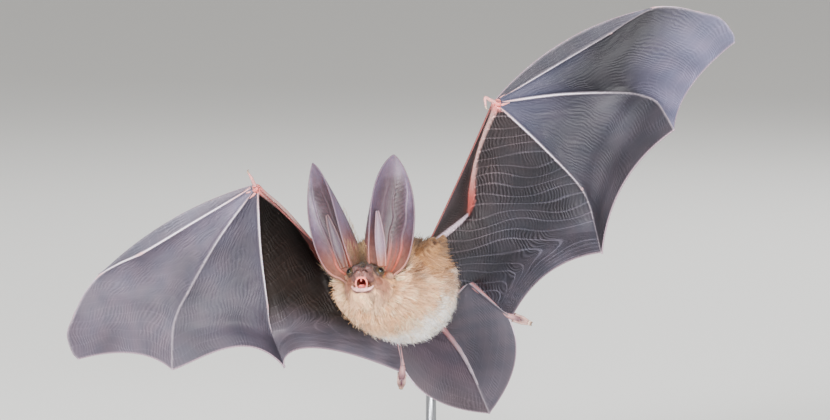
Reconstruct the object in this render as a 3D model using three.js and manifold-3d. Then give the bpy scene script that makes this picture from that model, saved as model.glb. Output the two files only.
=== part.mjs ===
// A big-eared bat in flight, life size, on a plain display stand. Millimetres, +Z up.
// The origin is the centre of the stand's underside. The bat faces -Y, and its left side is +X.
//
// The bat is built in a frame of its own, the flight frame, and then placed on the stand. A direction in
// that frame is a pair of angles in degrees: turn, counted in the frontal plane from the bat's left (+X)
// towards the top (+Z), and lean, counted from that plane towards the front (-Y).
import * as THREE from "three";
import { mergeVertices } from "three/addons/utils/BufferGeometryUtils.js";
import Module from "manifold-3d";

const wasm = await Module();
wasm.setup();

// ---------------------------------------------------------------- sizes

const GAP = 0.3; // clearance between neighbouring solids
const WEB_THICKNESS = 0.5;

const FOREARM = 43.5;
const HUMERUS = 26;
const FEMUR = 14.6;
const TIBIA = 19.5;
const TAIL = 46;

// Bone lengths of the fingers from the wrist: metacarpal, then phalanges, the last with its soft tip.
const FINGER_BONES = {
  3: [39, 15, 14, 12.6, 2.2], // the last is the bent gristle of the tip
  4: [38, 10.5, 12.8],
  5: [37, 10, 11],
};
const THUMB_BONES = [5, 2.4];

const TRUNK = {
  centre: new THREE.Vector3(-6, 0, -23),
  belly: new THREE.Vector3(-6.4, 0, -23),
  neckEnd: new THREE.Vector3(-13.6, -20, -21),
  rumpEnd: new THREE.Vector3(4.4, 23, -30.5),
  tailRoot: new THREE.Vector3(5.5, 19.5, -32),
  // share of the way from the neck to the rump, and the radius to the tips of the coat
  radii: [[0, 10.5], [0.1, 13.2], [0.2, 14.9], [0.45, 16.4], [0.7, 15.4], [0.84, 12.4], [0.94, 8], [1, 3]],
  neckShare: 0.2,
};
// The trunk's own axes: towards the head, towards the bat's left, and towards its back.
const FORE = new THREE.Vector3(-0.38, -0.86, 0.33).normalize();
const LEFT = new THREE.Vector3(0.88, -0.35, 0.31).projectOnPlane(FORE).normalize();
const BACK = new THREE.Vector3().crossVectors(FORE, LEFT);
const SHOULDER = { fore: 9, side: 10, back: 3 };
const HIP = { fore: -19, side: 5, back: -3 };

const HEAD = {
  centre: new THREE.Vector3(-13.5, -25.7, -20),
  yaw: -10.5,
  pitch: -18,
  roll: -2,
  // distance in front of the centre, height, half width and half height of each section
  sections: [
    [-7.5, -0.4, 3.6, 3.4],
    [-5, -0.3, 6, 5.6],
    [-1, 0, 7.3, 6.9],
    [2.5, 0.1, 6.9, 6],
    [5, -0.2, 5.4, 4.5],
    [7, -0.7, 3.9, 3.3],
    [9, -1, 3.1, 2.6],
    [10.6, -1.1, 2.5, 2.1],
    [11.6, -1.2, 1.5, 1.3],
  ],
};
const EYE = { radius: 1, side: 4.35, fore: 4.9, up: 0.9 };
const JAW = {
  hinge: [1.5, -3.6],
  chin: [9, -6.6],
  halfWidth: 3,
  depth: 1.5,
};
const EAR = {
  length: 34.1,
  halfWidth: 7.1,
  thickness: 0.6,
  base: [2.6, 3], // of its axis, backwards and up; the pose gives it sideways
  forward: 16,
  cupAtBase: 104,
  cupAtTip: 24,
};
// The tragus stands in the ear's opening, its base counted sideways from the ear's axis.
const TRAGUS = { length: 16, halfWidth: 1.3, thickness: 0.6, base: [1.9, -2.6, 3], forward: 15 };

const FOOT = { length: 8.4, toeLength: 4.6, clawLength: 1.5, fan: 2.5 };

// How the bones point in this pose: [turn, lean].
const POSE = {
  left: {
    side: 1,
    humerus: [38.5, -33],
    forearm: [76.7, 41.5],
    ear: { side: 2.7, splay: 9.3, outward: 38, tip: 0.75, tragus: -4 },
    thumb: [[158, 40], [-88, 5]],
    3: [[32, -8.5], [30, -7.5], [-5, -9.5], [-32, -18], [-82, -15]],
    4: [[4.6, -6.5], [-18, 35], [-62, 42]],
    5: [[-44.5, -19], [-67.5, -14], [-78, 20]],
    leadBow: 4.6,
    neckWeb: { fore: 5, side: 9.2, back: 1 },
    sag: { tip: [0.1], middle: [0.105], arm: [0.085] },
    femur: [44.7, -26],
    tibia: [-41, -34],
    foot: [-20, -25],
    calcar: [-8, -5],
    webBulge: 5.8,
  },
  right: {
    side: -1,
    humerus: [167, -70],
    forearm: [127.5, 44.5],
    ear: { side: 4.6, splay: 20.5, outward: 49, tip: 0.85, tragus: 18 },
    thumb: [[112, 50], [120, 45]],
    3: [[-150.4, -1], [-152.6, -21], [-123, -4], [-94, -22], [-48, -12]],
    4: [[-123.5, -9], [-112.7, -4], [-90.6, 13]],
    5: [[-85.5, -18.3], [-80, -19], [-67.3, 31]],
    leadBow: 3.4,
    neckWeb: { fore: 5, side: 4.2, back: 7.5 },
    sag: { tip: [0.14], middle: [0.2, 1.3], arm: [0.135, 0.63] },
    femur: [134, -67],
    tibia: [-80.6, -18.6],
    foot: [-94, -15],
    calcar: [-119, -5],
    webBulge: 5,
  },
};
const TAIL_POSE = [[-54, -44], [-66, -33]];
const FOREARM_BOW = 2.4; // the forearm curves towards the wing's leading edge
// How far each finger bone curves that way, as a share of its length.
const FINGER_BOW = { 3: [0, 0.03, 0.06, 0.15, 0], 4: [0.025, 0.05, 0.02], 5: [0.015, 0.04, 0] };
const BILLOW = 0.06; // how far a web bulges backwards, as a share of its width

const STAND = {
  tilt: -6, // the whole bat's pitch on the rod
  height: 88, // of the flight frame's origin above the floor
  setBack: -18, // of that origin from the middle of the base
  baseRadius: 46,
  baseThickness: 8,
  bevel: 1.2,
  rodRadius: 1.6,
  post: new THREE.Vector2(5, 29), // where the post stands on the base
  postTop: 52,
  entry: { fore: -12.5, side: 2.5, back: 8.5 }, // where the arm ends inside the back
};

// ---------------------------------------------------------------- small tools

const { degToRad, lerp } = THREE.MathUtils;
const vec = (x, y, z) => new THREE.Vector3(x, y, z);
const along = (point, direction, distance) => point.clone().addScaledVector(direction, distance);
const mix = (a, b, share) => a.clone().lerp(b, share);

function aim([turn, lean]) {
  const t = degToRad(turn);
  const l = degToRad(lean);
  return vec(Math.cos(l) * Math.cos(t), -Math.sin(l), Math.cos(l) * Math.sin(t));
}

// The joints of a chain of bones, from its start.
function chain(start, lengths, directions) {
  const joints = [start];
  lengths.forEach((length, i) => joints.push(along(joints[i], aim(directions[i]), length)));
  return joints;
}

// A place in the trunk, by its own axes, on the bat's left (side 1) or right (side -1).
function inTrunk({ fore, side, back }, sign) {
  const place = along(TRUNK.centre, FORE, fore);
  return along(along(place, LEFT, side * sign), BACK, back);
}

// The value at a share of the way through a list of [share, value], smoothed.
function profile(list, share) {
  const i = Math.max(1, list.findIndex(([s]) => s >= share));
  const [s0, v0] = list[i - 1];
  const [s1, v1] = list[i];
  const t = (share - s0) / (s1 - s0);
  return lerp(v0, v1, THREE.MathUtils.clamp(t, 0, 1));
}

const smoothPath = (joints) => new THREE.CatmullRomCurve3(joints, false, "centripetal");

// A closed geometry from its points and faces, with shared vertices merged and every face looking out.
function closed(points, triangles) {
  let volume = 0;
  for (let i = 0; i < triangles.length; i += 3) {
    const [a, b, c] = [0, 1, 2].map((k) => points[triangles[i + k]]);
    volume += a.dot(b.clone().cross(c));
  }
  const geometry = new THREE.BufferGeometry().setFromPoints(points);
  geometry.setIndex(volume < 0 ? [...triangles].reverse() : triangles);
  return mergeVertices(geometry, 1e-4);
}

// Rings of points joined into one closed body, each end drawn to its own point.
function loft(rings, startPoint, endPoint) {
  const sides = rings[0].length;
  const points = [...rings.flat(), startPoint, endPoint];
  const first = points.length - 2;
  const triangles = [];
  rings.forEach((ring, r) => {
    ring.forEach((_, s) => {
      const next = (s + 1) % sides;
      const [a, b] = [r * sides + s, r * sides + next];
      if (r === 0) triangles.push(first, b, a);
      if (r === rings.length - 1) triangles.push(first + 1, a, b);
      else triangles.push(a, b, b + sides, a, b + sides, a + sides);
    });
  });
  return closed(points, triangles);
}

// A round bar along a path. radius(share) is its half thickness; flat narrows it across.
function bar(path, radius, { sides = 8, steps = 8, flat = 1 } = {}) {
  const frames = smoothFrames(path, steps);
  const rings = frames.map(({ point, normal, binormal }, i) =>
    Array.from({ length: sides }, (_, s) => {
      const angle = (s / sides) * 2 * Math.PI;
      const r = radius(i / steps);
      return along(along(point, normal, r * Math.cos(angle)), binormal, r * flat * Math.sin(angle));
    }),
  );
  const [head, tail] = [frames[0], frames[steps]];
  const round = 0.5; // an end stands out by half its radius
  return loft(
    rings,
    along(head.point, head.tangent, -round * radius(0)),
    along(tail.point, tail.tangent, round * radius(1)),
  );
}

// Frames along a path that do not twist.
function smoothFrames(path, steps) {
  const frames = [];
  let normal = null;
  for (let i = 0; i <= steps; i++) {
    const tangent = path.getTangentAt(i / steps);
    if (!normal) normal = Math.abs(tangent.y) < 0.9 ? vec(0, 1, 0) : vec(1, 0, 0);
    normal = normal.clone().projectOnPlane(tangent).normalize();
    const binormal = new THREE.Vector3().crossVectors(tangent, normal);
    frames.push({ point: path.getPointAt(i / steps), tangent, normal, binormal });
  }
  return frames;
}

// The points of surface(u, v) in rows.
function gridOf(surface, across, down) {
  const grid = [];
  for (let j = 0; j <= down; j++) {
    for (let i = 0; i <= across; i++) grid.push(surface(i / across, j / down));
  }
  return grid;
}

// A grid drawn tight, its rim kept: each inner point goes to the middle of its neighbours, over and over.
function tightened(grid, across, down, times = 60) {
  const row = across + 1;
  for (let pass = 0; pass < times; pass++) {
    for (let j = 1; j < down; j++) {
      for (let i = 1; i < across; i++) {
        const n = j * row + i;
        const sum = vec();
        for (const k of [n - 1, n + 1, n - row, n + row]) sum.add(grid[k]);
        grid[n] = sum.divideScalar(4);
      }
    }
  }
  return grid;
}

// The same grid, its middle pushed along a direction as a sail's is by the air.
function billowed(grid, across, down, direction, depth) {
  return grid.map((point, n) => {
    const [u, v] = [(n % (across + 1)) / across, Math.floor(n / (across + 1)) / down];
    return along(point, direction, 16 * u * (1 - u) * v * (1 - v) * depth);
  });
}

// A sheet of even thickness over a grid, with blunt edges all round.
function slab(grid, across, down, thickness = WEB_THICKNESS) {
  const row = across + 1;
  const at = (i, j) => grid[THREE.MathUtils.clamp(j, 0, down) * row + THREE.MathUtils.clamp(i, 0, across)];
  const normals = grid.map((_, n) => {
    const [i, j] = [n % row, Math.floor(n / row)];
    const alongU = at(i + 1, j).clone().sub(at(i - 1, j));
    const alongV = at(i, j + 1).clone().sub(at(i, j - 1));
    return alongU.cross(alongV).normalize();
  });
  const upper = grid.map((p, n) => along(p, normals[n], thickness / 2));
  const lower = grid.map((p, n) => along(p, normals[n], -thickness / 2));
  const count = grid.length;
  const triangles = [];
  for (let j = 0; j < down; j++) {
    for (let i = 0; i < across; i++) {
      const [a, b, c, d] = [j * row + i, j * row + i + 1, (j + 1) * row + i + 1, (j + 1) * row + i];
      triangles.push(a, b, c, a, c, d);
      triangles.push(count + a, count + c, count + b, count + a, count + d, count + c);
    }
  }
  const wall = (a, b) => triangles.push(a, count + a, count + b, a, count + b, b);
  for (let i = 0; i < across; i++) {
    wall(i, i + 1);
    wall(down * row + i + 1, down * row + i);
  }
  for (let j = 0; j < down; j++) {
    wall((j + 1) * row, j * row);
    wall(j * row + across, (j + 1) * row + across);
  }
  return closed([...upper, ...lower], triangles);
}

// A library shape without its texture and shading data, so that its faces share vertices.
function bare(geometry) {
  geometry.deleteAttribute("normal");
  geometry.deleteAttribute("uv");
  return mergeVertices(geometry, 1e-4);
}

// The surface stretched between four edges that meet at their ends.
function stretched(top, bottom, start, end) {
  return (u, v) => {
    const between = mix(top(u), bottom(u), v).add(mix(start(v), end(v), u));
    const corners = mix(mix(top(0), top(1), u), mix(bottom(0), bottom(1), u), v);
    return between.sub(corners);
  };
}

// A free edge from a to b, drawn in towards a place by a share of its length. It is deepest halfway, or
// nearer a where skew is under 1 and nearer b where it is over 1.
function freeEdge(a, b, inwards, share, skew = 1) {
  const middle = mix(a, b, 0.5);
  const pull = inwards.clone().sub(middle).normalize();
  return (u) => along(mix(a, b, u), pull, a.distanceTo(b) * share * 4 * u ** skew * (1 - u ** skew));
}

// Manifold solids and back.
function solid(geometry) {
  const made = new wasm.Manifold(
    new wasm.Mesh({
      numProp: 3,
      vertProperties: new Float32Array(geometry.attributes.position.array),
      triVerts: new Uint32Array(geometry.index.array),
    }),
  );
  return made;
}

function geometryOf(manifold) {
  const { vertProperties, triVerts } = manifold.getMesh();
  const geometry = new THREE.BufferGeometry();
  geometry.setAttribute("position", new THREE.BufferAttribute(vertProperties, 3));
  geometry.setIndex(new THREE.BufferAttribute(triVerts, 1));
  geometry.computeVertexNormals();
  return geometry;
}

// The same shape, larger all round by a distance.
function swollen(geometry, distance = GAP) {
  const larger = geometry.clone();
  larger.computeVertexNormals();
  const { position, normal } = larger.attributes;
  for (let i = 0; i < position.count; i++) {
    const point = vec().fromBufferAttribute(position, i);
    point.addScaledVector(vec().fromBufferAttribute(normal, i), distance);
    position.setXYZ(i, point.x, point.y, point.z);
  }
  return larger;
}

// What is left of a shape once each neighbour, with its clearance, has been taken away.
function clearOf(geometry, neighbours) {
  const left = neighbours.reduce(
    (rest, neighbour) => rest.subtract(solid(swollen(neighbour))),
    solid(geometry),
  );
  return largest(left);
}

const largest = (manifold) =>
  manifold.decompose().reduce((best, piece) => (piece.volume() > best.volume() ? piece : best));

// ---------------------------------------------------------------- materials

const material = (color, roughness, metalness = 0) =>
  new THREE.MeshStandardMaterial({ color, roughness, metalness });
const MATERIALS = {
  coat: material("#d9c7a8", 0.95),
  skin: material("#b98a80", 0.6),
  arm: material("#c98f86", 0.5),
  web: material("#6f6870", 0.55),
  ear: material("#a8909a", 0.55),
  mouth: material("#c4605c", 0.35),
  eye: material("#120d0a", 0.1),
  stand: material("#2b2b2d", 0.45),
  steel: material("#8f9296", 0.3, 1),
};

const bat = new THREE.Group();
bat.rotation.x = degToRad(STAND.tilt);
bat.position.set(0, STAND.setBack, STAND.height);

function add(parent, name, shape, look) {
  const geometry = shape.isBufferGeometry ? shape : geometryOf(shape);
  const mesh = new THREE.Mesh(geometry, MATERIALS[look]);
  mesh.name = name;
  parent.add(mesh);
  return mesh;
}

// ---------------------------------------------------------------- head, in its own frame (front is -Y)

const headGroup = new THREE.Group();
headGroup.position.copy(HEAD.centre);
headGroup.rotation.set(degToRad(HEAD.pitch), degToRad(HEAD.roll), degToRad(HEAD.yaw), "ZXY");
headGroup.updateMatrix();
bat.add(headGroup);
const inFlightFrame = (geometry) => geometry.clone().applyMatrix4(headGroup.matrix);

function oval(fore, up, halfWidth, halfHeight, sides) {
  return Array.from({ length: sides }, (_, s) => {
    const angle = (s / sides) * 2 * Math.PI;
    return vec(-halfWidth * Math.cos(angle), -fore, up + halfHeight * Math.sin(angle));
  });
}

function skullShape() {
  const sides = 14;
  const rings = HEAD.sections.map(([fore, up, w, h]) => oval(fore, up, w, h, sides));
  const [back] = HEAD.sections;
  const front = HEAD.sections.at(-1);
  return loft(rings, vec(0, -back[0] + 1.2, back[1]), vec(0, -front[0] - 0.4, front[1]));
}

// The gap between the jaws, which opens forwards, as an egg between palate and tongue.
function gapeShape() {
  const egg = bare(new THREE.SphereGeometry(1, 10, 6));
  egg.scale(2.1, 5.2, 1.75);
  egg.rotateX(degToRad(15));
  return egg.translate(0, -9.2, -3.9);
}

function jawShape() {
  const sides = 10;
  const steps = 4;
  const rings = Array.from({ length: steps + 1 }, (_, i) => {
    const t = i / steps;
    const fore = lerp(JAW.hinge[0], JAW.chin[0], t);
    const up = lerp(JAW.hinge[1], JAW.chin[1], t);
    const narrow = Math.sqrt(1 - 0.75 * t ** 4);
    return oval(fore, up, JAW.halfWidth * (1.35 - 0.4 * t) * narrow, JAW.depth * narrow, sides);
  });
  return loft(rings, vec(0, -JAW.hinge[0] + 0.8, JAW.hinge[1]), vec(0, -JAW.chin[0] - 0.5, JAW.chin[1]));
}

function tongueShape() {
  const path = smoothPath([vec(0, -3.4, -4.3), vec(0, -6, -5), vec(0, -8.3, -5.3)]);
  return bar(path, (t) => 1.25 - 0.35 * t * t, { sides: 8, steps: 3 });
}

// An ear is a leaf rolled about its long axis: wide in the middle, more than a half tube at the base.
// A low tip rounds it off, a high one draws it to a point.
function earHalfWidth(s, tip) {
  const widest = 0.42;
  const below = Math.max(0, widest - s) / widest;
  const above = Math.max(0, s - widest) / (1 - widest);
  const narrowing = 1 - 0.16 * below ** 2 - 0.3 * below ** 6;
  return EAR.halfWidth * narrowing * Math.max(0.006, 1 - above ** 2.4) ** tip;
}

function earShape({ side, ear }) {
  const surface = (u, share) => {
    const v = 1 - (1 - share) ** 1.5; // the rows come closer towards the round tip
    const width = earHalfWidth(v, ear.tip);
    const cup = degToRad(lerp(EAR.cupAtBase, EAR.cupAtTip, v * v));
    const angle = (2 * u - 1) * cup;
    const radius = width / Math.sin(Math.min(cup, Math.PI / 2));
    const middle = Math.sin(cup) / cup; // of the rolled leaf, which lies on the ear's axis
    return vec(radius * Math.sin(angle), radius * (Math.cos(angle) - middle), EAR.length * v);
  };
  const leaf = slab(gridOf(surface, 8, 7), 8, 7, EAR.thickness);
  leaf.rotateZ(degToRad(ear.outward * side));
  leaf.rotateX(degToRad(EAR.forward));
  leaf.rotateY(degToRad(ear.splay * side));
  return leaf.translate(ear.side * side, ...EAR.base);
}

function tragusShape({ side, ear }) {
  const surface = (u, v) => {
    const width = TRAGUS.halfWidth * (1 - 0.65 * v ** 3) * (0.85 + 0.3 * Math.sin(Math.PI * v));
    const across = 2 * u - 1;
    return vec(width * across, -0.4 * across * across, TRAGUS.length * v);
  };
  const blade = slab(gridOf(surface, 3, 5), 3, 5, TRAGUS.thickness);
  blade.rotateX(degToRad(TRAGUS.forward));
  blade.rotateY(degToRad(ear.tragus * side));
  return blade.translate((ear.side + TRAGUS.base[0]) * side, TRAGUS.base[1], TRAGUS.base[2]);
}

function eyeShape(side) {
  const ball = bare(new THREE.IcosahedronGeometry(EYE.radius, 1));
  return ball.translate(EYE.side * side, -EYE.fore, EYE.up);
}

const skull = skullShape();
const gape = gapeShape();
const jaw = jawShape();
const eyes = [1, -1].map(eyeShape);
const headSolid = clearOf(skull, eyes).subtract(solid(gape));
add(headGroup, "head", headSolid, "coat");
const jawSolid = largest(clearOf(jaw, [skull]).subtract(solid(gape)));
add(headGroup, "lower_jaw", jawSolid, "skin");
const tongueSolid = largest(
  solid(tongueShape())
    .subtract(solid(swollen(geometryOf(headSolid), GAP)))
    .subtract(solid(swollen(geometryOf(jawSolid), GAP))),
);
add(headGroup, "tongue", tongueSolid, "mouth");

["left", "right"].forEach((name, i) => {
  const tragus = tragusShape(POSE[name]);
  add(headGroup, `eye_${name}`, eyes[i], "eye");
  add(headGroup, `ear_${name}`, clearOf(earShape(POSE[name]), [skull, tragus]), "ear");
  add(headGroup, `tragus_${name}`, clearOf(tragus, [skull]), "ear");
});

// ---------------------------------------------------------------- trunk, neck and tail

const spine = smoothPath([TRUNK.neckEnd, TRUNK.belly, TRUNK.rumpEnd]);

function trunkShape(from, to, steps) {
  const sides = 16;
  const frames = smoothFrames(spine, 60);
  const rings = Array.from({ length: steps + 1 }, (_, i) => {
    const share = lerp(from, to, i / steps);
    const { normal, binormal } = frames[Math.round(share * 60)];
    const centre = spine.getPointAt(share);
    const radius = profile(TRUNK.radii, share);
    return Array.from({ length: sides }, (_, s) => {
      const angle = (s / sides) * 2 * Math.PI;
      const place = along(centre, normal, radius * Math.cos(angle));
      return along(place, binormal, radius * Math.sin(angle));
    });
  });
  return loft(rings, spine.getPointAt(from), spine.getPointAt(to));
}

bat.updateMatrix();
const onStand = (place) => place.clone().applyMatrix4(bat.matrix);
const postFoot = vec(STAND.post.x, STAND.post.y, STAND.baseThickness + GAP);
const postTop = vec(STAND.post.x, STAND.post.y, STAND.postTop);
const entry = onStand(inTrunk(STAND.entry, 1));

// A straight round rod with flat ends.
function rod(from, to) {
  const length = from.distanceTo(to);
  const made = bare(new THREE.CylinderGeometry(STAND.rodRadius, STAND.rodRadius, length, 12));
  const direction = to.clone().sub(from).normalize();
  made.applyQuaternion(new THREE.Quaternion().setFromUnitVectors(vec(0, 1, 0), direction));
  const middle = mix(from, to, 0.5);
  return made.translate(middle.x, middle.y, middle.z);
}
const post = rod(postFoot, postTop);
const arm = rod(vec(postTop.x, postTop.y, postTop.z - 1.5), entry);
const armInFlight = arm.clone().applyMatrix4(bat.matrix.clone().invert());

const cut = GAP / spine.getLength();
const neck = trunkShape(0, TRUNK.neckShare - cut, 3);
const trunk = trunkShape(TRUNK.neckShare, 1, 11);
const skullInFlight = inFlightFrame(skull);
const earsInFlight = [POSE.left, POSE.right].map((pose) => inFlightFrame(earShape(pose)));
add(bat, "neck", clearOf(neck, [skullInFlight, inFlightFrame(jaw), ...earsInFlight]), "coat");
add(bat, "trunk", clearOf(trunk, [skullInFlight, armInFlight]), "coat");
const furred = [neck, trunk, skullInFlight];

const tailJoints = chain(TRUNK.tailRoot, [TAIL / 2, TAIL / 2], TAIL_POSE);
const tailPath = smoothPath(tailJoints);
const tailRadius = (t) => lerp(1.3, 0.45, t);
const tail = bar(tailPath, tailRadius, { sides: 6, steps: 7 });
add(bat, "tail", clearOf(tail, [trunk]), "skin");

// ---------------------------------------------------------------- wings

const WRIST_SPREAD = 1.3; // the fingers start this far from the wrist's centre
const KNUCKLE_OFFSET = { 3: 0.8, 4: 0.3, 5: -0.2 }; // and this far towards the leading edge
const FINGER_RADIUS = { 2: [0.55, 0.4], 3: [0.75, 0.35], 4: [0.7, 0.32], 5: [0.75, 0.32] };
const CLEAR = GAP + 0.08; // from a bone's surface to the edge of a web

function forearmRadius(t) {
  const muscle = 0.85 * Math.exp(-(((t - 0.14) / 0.2) ** 2));
  const wrist = 0.55 * Math.exp(-(((t - 1) / 0.06) ** 2));
  return 1 + muscle + wrist;
}
const upperArmRadius = (t) => lerp(2, 1.3, t);

// The direction across a bone, in the frontal plane, towards the wing's leading edge.
const leading = (direction, side) => direction.clone().cross(vec(0, side, 0)).normalize();

// A bone's path with its middle bowed towards the leading edge.
function bowed(from, to, bow, side) {
  const middle = mix(from, to, 0.5);
  const control = along(middle, leading(to.clone().sub(from), side), 2 * bow);
  return new THREE.QuadraticBezierCurve3(from, control, to);
}

function wingBones(pose) {
  const { side } = pose;
  const shoulder = inTrunk(SHOULDER, side);
  const [, elbow] = chain(shoulder, [HUMERUS], [pose.humerus]);
  const [, wrist] = chain(elbow, [FOREARM], [pose.forearm]);
  const paths = {};
  const joints = {};
  for (const [number, lengths] of Object.entries(FINGER_BONES)) {
    joints[number] = chain(wrist, lengths, pose[number]);
    const first = aim(pose[number][0]);
    const start = along(wrist, first, WRIST_SPREAD);
    joints[number][0] = along(start, leading(first, side), KNUCKLE_OFFSET[number]);
    const middles = lengths.map((length, i) => {
      const bone = bowed(joints[number][i], joints[number][i + 1], FINGER_BOW[number][i] * length, side);
      return bone.getPoint(0.5);
    });
    paths[number] = smoothPath(joints[number].flatMap((joint, i) => [joint, middles[i]]).slice(0, -1));
  }
  // The second finger bows out from the third and meets it at that finger's second joint.
  const meeting = joints[3][2];
  const outer = bowed(along(wrist, leading(aim(pose[3][0]), side), 1), meeting, pose.leadBow, side);
  paths[2] = smoothPath([0.05, 0.25, 0.5, 0.75, 0.95].map((t) => outer.getPoint(t)));
  const thumb = chain(wrist, THUMB_BONES, pose.thumb);
  return { shoulder, elbow, wrist, joints, paths, thumb };
}

// An edge beside a bone, clear of it, towards another line.
function beside(path, radius, towards) {
  return (t) => {
    const here = path(t);
    const tangent = path(Math.min(1, t + 0.01)).sub(path(Math.max(0, t - 0.01))).normalize();
    const across = towards(t).sub(here).projectOnPlane(tangent).normalize();
    return along(here, across, radius(t) + CLEAR);
  };
}

function addWing(name) {
  const pose = POSE[name];
  const { side } = pose;
  const { shoulder, elbow, wrist, joints, paths, thumb } = wingBones(pose);
  const backwards = vec(0, 1, 0);

  const forearmPath = bowed(elbow, wrist, FOREARM_BOW, side);
  const upperArm = bar(new THREE.LineCurve3(shoulder, elbow), upperArmRadius, { sides: 6, steps: 3 });
  const forearm = bar(forearmPath, forearmRadius, { steps: 10 });
  add(bat, `upper_arm_${name}`, clearOf(upperArm, [forearm, trunk, neck]), "arm");
  add(bat, `forearm_${name}`, clearOf(forearm, furred), "arm");

  const thumbPath = smoothPath([wrist, mix(wrist, thumb[1], 0.6), thumb[1], thumb[2]]);
  const thumbBar = bar(thumbPath, (t) => lerp(0.8, 0.3, t * t), { sides: 6, steps: 6 });
  add(bat, `thumb_${name}`, clearOf(thumbBar, [forearm]), "arm");

  const made = [forearm, thumbBar];
  const bars = {};
  const radius = {};
  for (const number of [3, 5, 4, 2]) {
    const [thick, thin] = FINGER_RADIUS[number];
    radius[number] = (t) => lerp(thick, thin, t);
    bars[number] = bar(paths[number], radius[number], { sides: 6, steps: number === 2 ? 7 : 11 });
    add(bat, `finger_${number}_${name}`, clearOf(bars[number], made), "arm");
    made.push(bars[number]);
  }
  const at = (number) => (t) => paths[number].getPointAt(t);

  // A web between two fingers, from near the wrist to its free edge.
  const between = (a, b, sag, from, across, down) => {
    const share = (v) => lerp(from, 1, v);
    const edgeA = beside(at(a), radius[a], at(b));
    const edgeB = beside(at(b), radius[b], at(a));
    const free = freeEdge(edgeA(1), edgeB(1), wrist, ...sag);
    const sheet = stretched(
      (u) => mix(edgeA(from), edgeB(from), u),
      free,
      (v) => edgeA(share(v)),
      (v) => edgeB(share(v)),
    );
    const grid = tightened(gridOf(sheet, across, down), across, down, 12);
    const depth = BILLOW * edgeA(1).distanceTo(edgeB(1));
    return slab(billowed(grid, across, down, backwards, depth), across, down);
  };

  // The second and third fingers meet where the third's shared part ends.
  const meeting = shareNearest(paths[3], joints[3][2]);
  const sharedThird = (v) => at(3)(v * meeting);
  const outerEdge = beside(at(2), radius[2], sharedThird);
  const innerEdge = beside(sharedThird, (v) => radius[3](v * meeting), at(2));
  const strip = (u, v) => mix(outerEdge(lerp(0.14, 0.86, v)), innerEdge(lerp(0.14, 0.86, v)), u);
  add(bat, `web_leading_${name}`, slab(gridOf(strip, 2, 8), 2, 8), "web");
  add(bat, `web_tip_${name}`, between(3, 4, pose.sag.tip, 0.08, 6, 9), "web");
  add(bat, `web_middle_${name}`, between(4, 5, pose.sag.middle, 0.06, 6, 8), "web");

  // The web from the arm and the fifth finger to the flank and the leg.
  const leg = legBones(pose);
  const bend = 0.6; // the elbow falls on a line of the grid
  const onArm = (u) =>
    u < bend ? forearmPath.getPoint(1 - u / bend) : mix(elbow, shoulder, (u - bend) / (1 - bend));
  const armRadius = (u) =>
    u < bend ? forearmRadius(1 - u / bend) : upperArmRadius(1 - (u - bend) / (1 - bend));
  const flank = inTrunk({ fore: -6, side: 11, back: 1 }, side);
  const outside = leading(aim(pose.tibia), side);
  const heel = along(along(leg.ankle, aim(pose.foot), 2), outside, 1.2);
  const thighMiddle = mix(leg.hip, leg.knee, 0.5);
  const inner = smoothPath([shoulder, flank, thighMiddle, along(leg.knee, outside, 1.6), heel]);
  const innerAt = (v) => inner.getPointAt(v);
  const fifth = (v) => (v < 0.04 ? mix(wrist, at(5)(0.04), v / 0.04) : at(5)(v));
  const armEdge = beside(onArm, armRadius, (u) => mix(at(5)(0.8), innerAt(0.6), u));
  const fifthEdge = beside(fifth, radius[5], (v) => mix(mix(elbow, wrist, 0.7), innerAt(1), v));
  const start = 0.05;
  const topEdge = (u) => armEdge(lerp(start, 1, u));
  const leftEdge = (v) => fifthEdge(lerp(start, 1, v));
  const trailing = freeEdge(leftEdge(1), innerAt(1), mix(elbow, wrist, 0.5), ...pose.sag.arm);
  const corner = mix(topEdge(0), leftEdge(0), 0.5);
  const sail = stretched(
    (u) => topEdge(u).lerp(corner, Math.max(0, 1 - u * 20)),
    trailing,
    (v) => leftEdge(v).lerp(corner, Math.max(0, 1 - v * 20)),
    (v) => mix(topEdge(1), innerAt(v), Math.min(1, v * 8)),
  );
  const armGrid = tightened(gridOf(sail, 10, 8), 10, 8, 60);
  const armWeb = slab(billowed(armGrid, 10, 8, backwards, BILLOW * 24), 10, 8);
  const foot = geometryOf(footShape(leg.ankle, pose));
  const round = [upperArm, forearm, ...furred, leg.thigh, leg.shin, foot];
  add(bat, `web_arm_${name}`, clearOf(armWeb, round), "web");

  // The web in front of the arm, from the wrist to the side of the neck.
  const anchor = inTrunk(
    {
      fore: SHOULDER.fore + pose.neckWeb.fore,
      side: SHOULDER.side + pose.neckWeb.side,
      back: SHOULDER.back + pose.neckWeb.back,
    },
    side,
  );
  const front = freeEdge(thumb[0].clone().lerp(thumb[1], 0.35), anchor, elbow, 0.02);
  const rear = beside(onArm, armRadius, front);
  const lapel = (u, v) => mix(rear(lerp(0.07, 0.97, u)), front(lerp(0.07, 1, u)), v);
  const frontWeb = slab(gridOf(lapel, 8, 2), 8, 2);
  const inTheWay = [upperArm, forearm, thumbBar, armWeb, ...furred, ...earsInFlight];
  add(bat, `web_front_${name}`, clearOf(frontWeb, inTheWay), "web");
}

// The share of a path's length that comes nearest to a place.
function shareNearest(path, place) {
  const samples = Array.from({ length: 201 }, (_, i) => i / 200);
  const distance = (t) => path.getPointAt(t).distanceTo(place);
  return samples.reduce((best, t) => (distance(t) < distance(best) ? t : best));
}

// ---------------------------------------------------------------- legs and tail web

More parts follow.
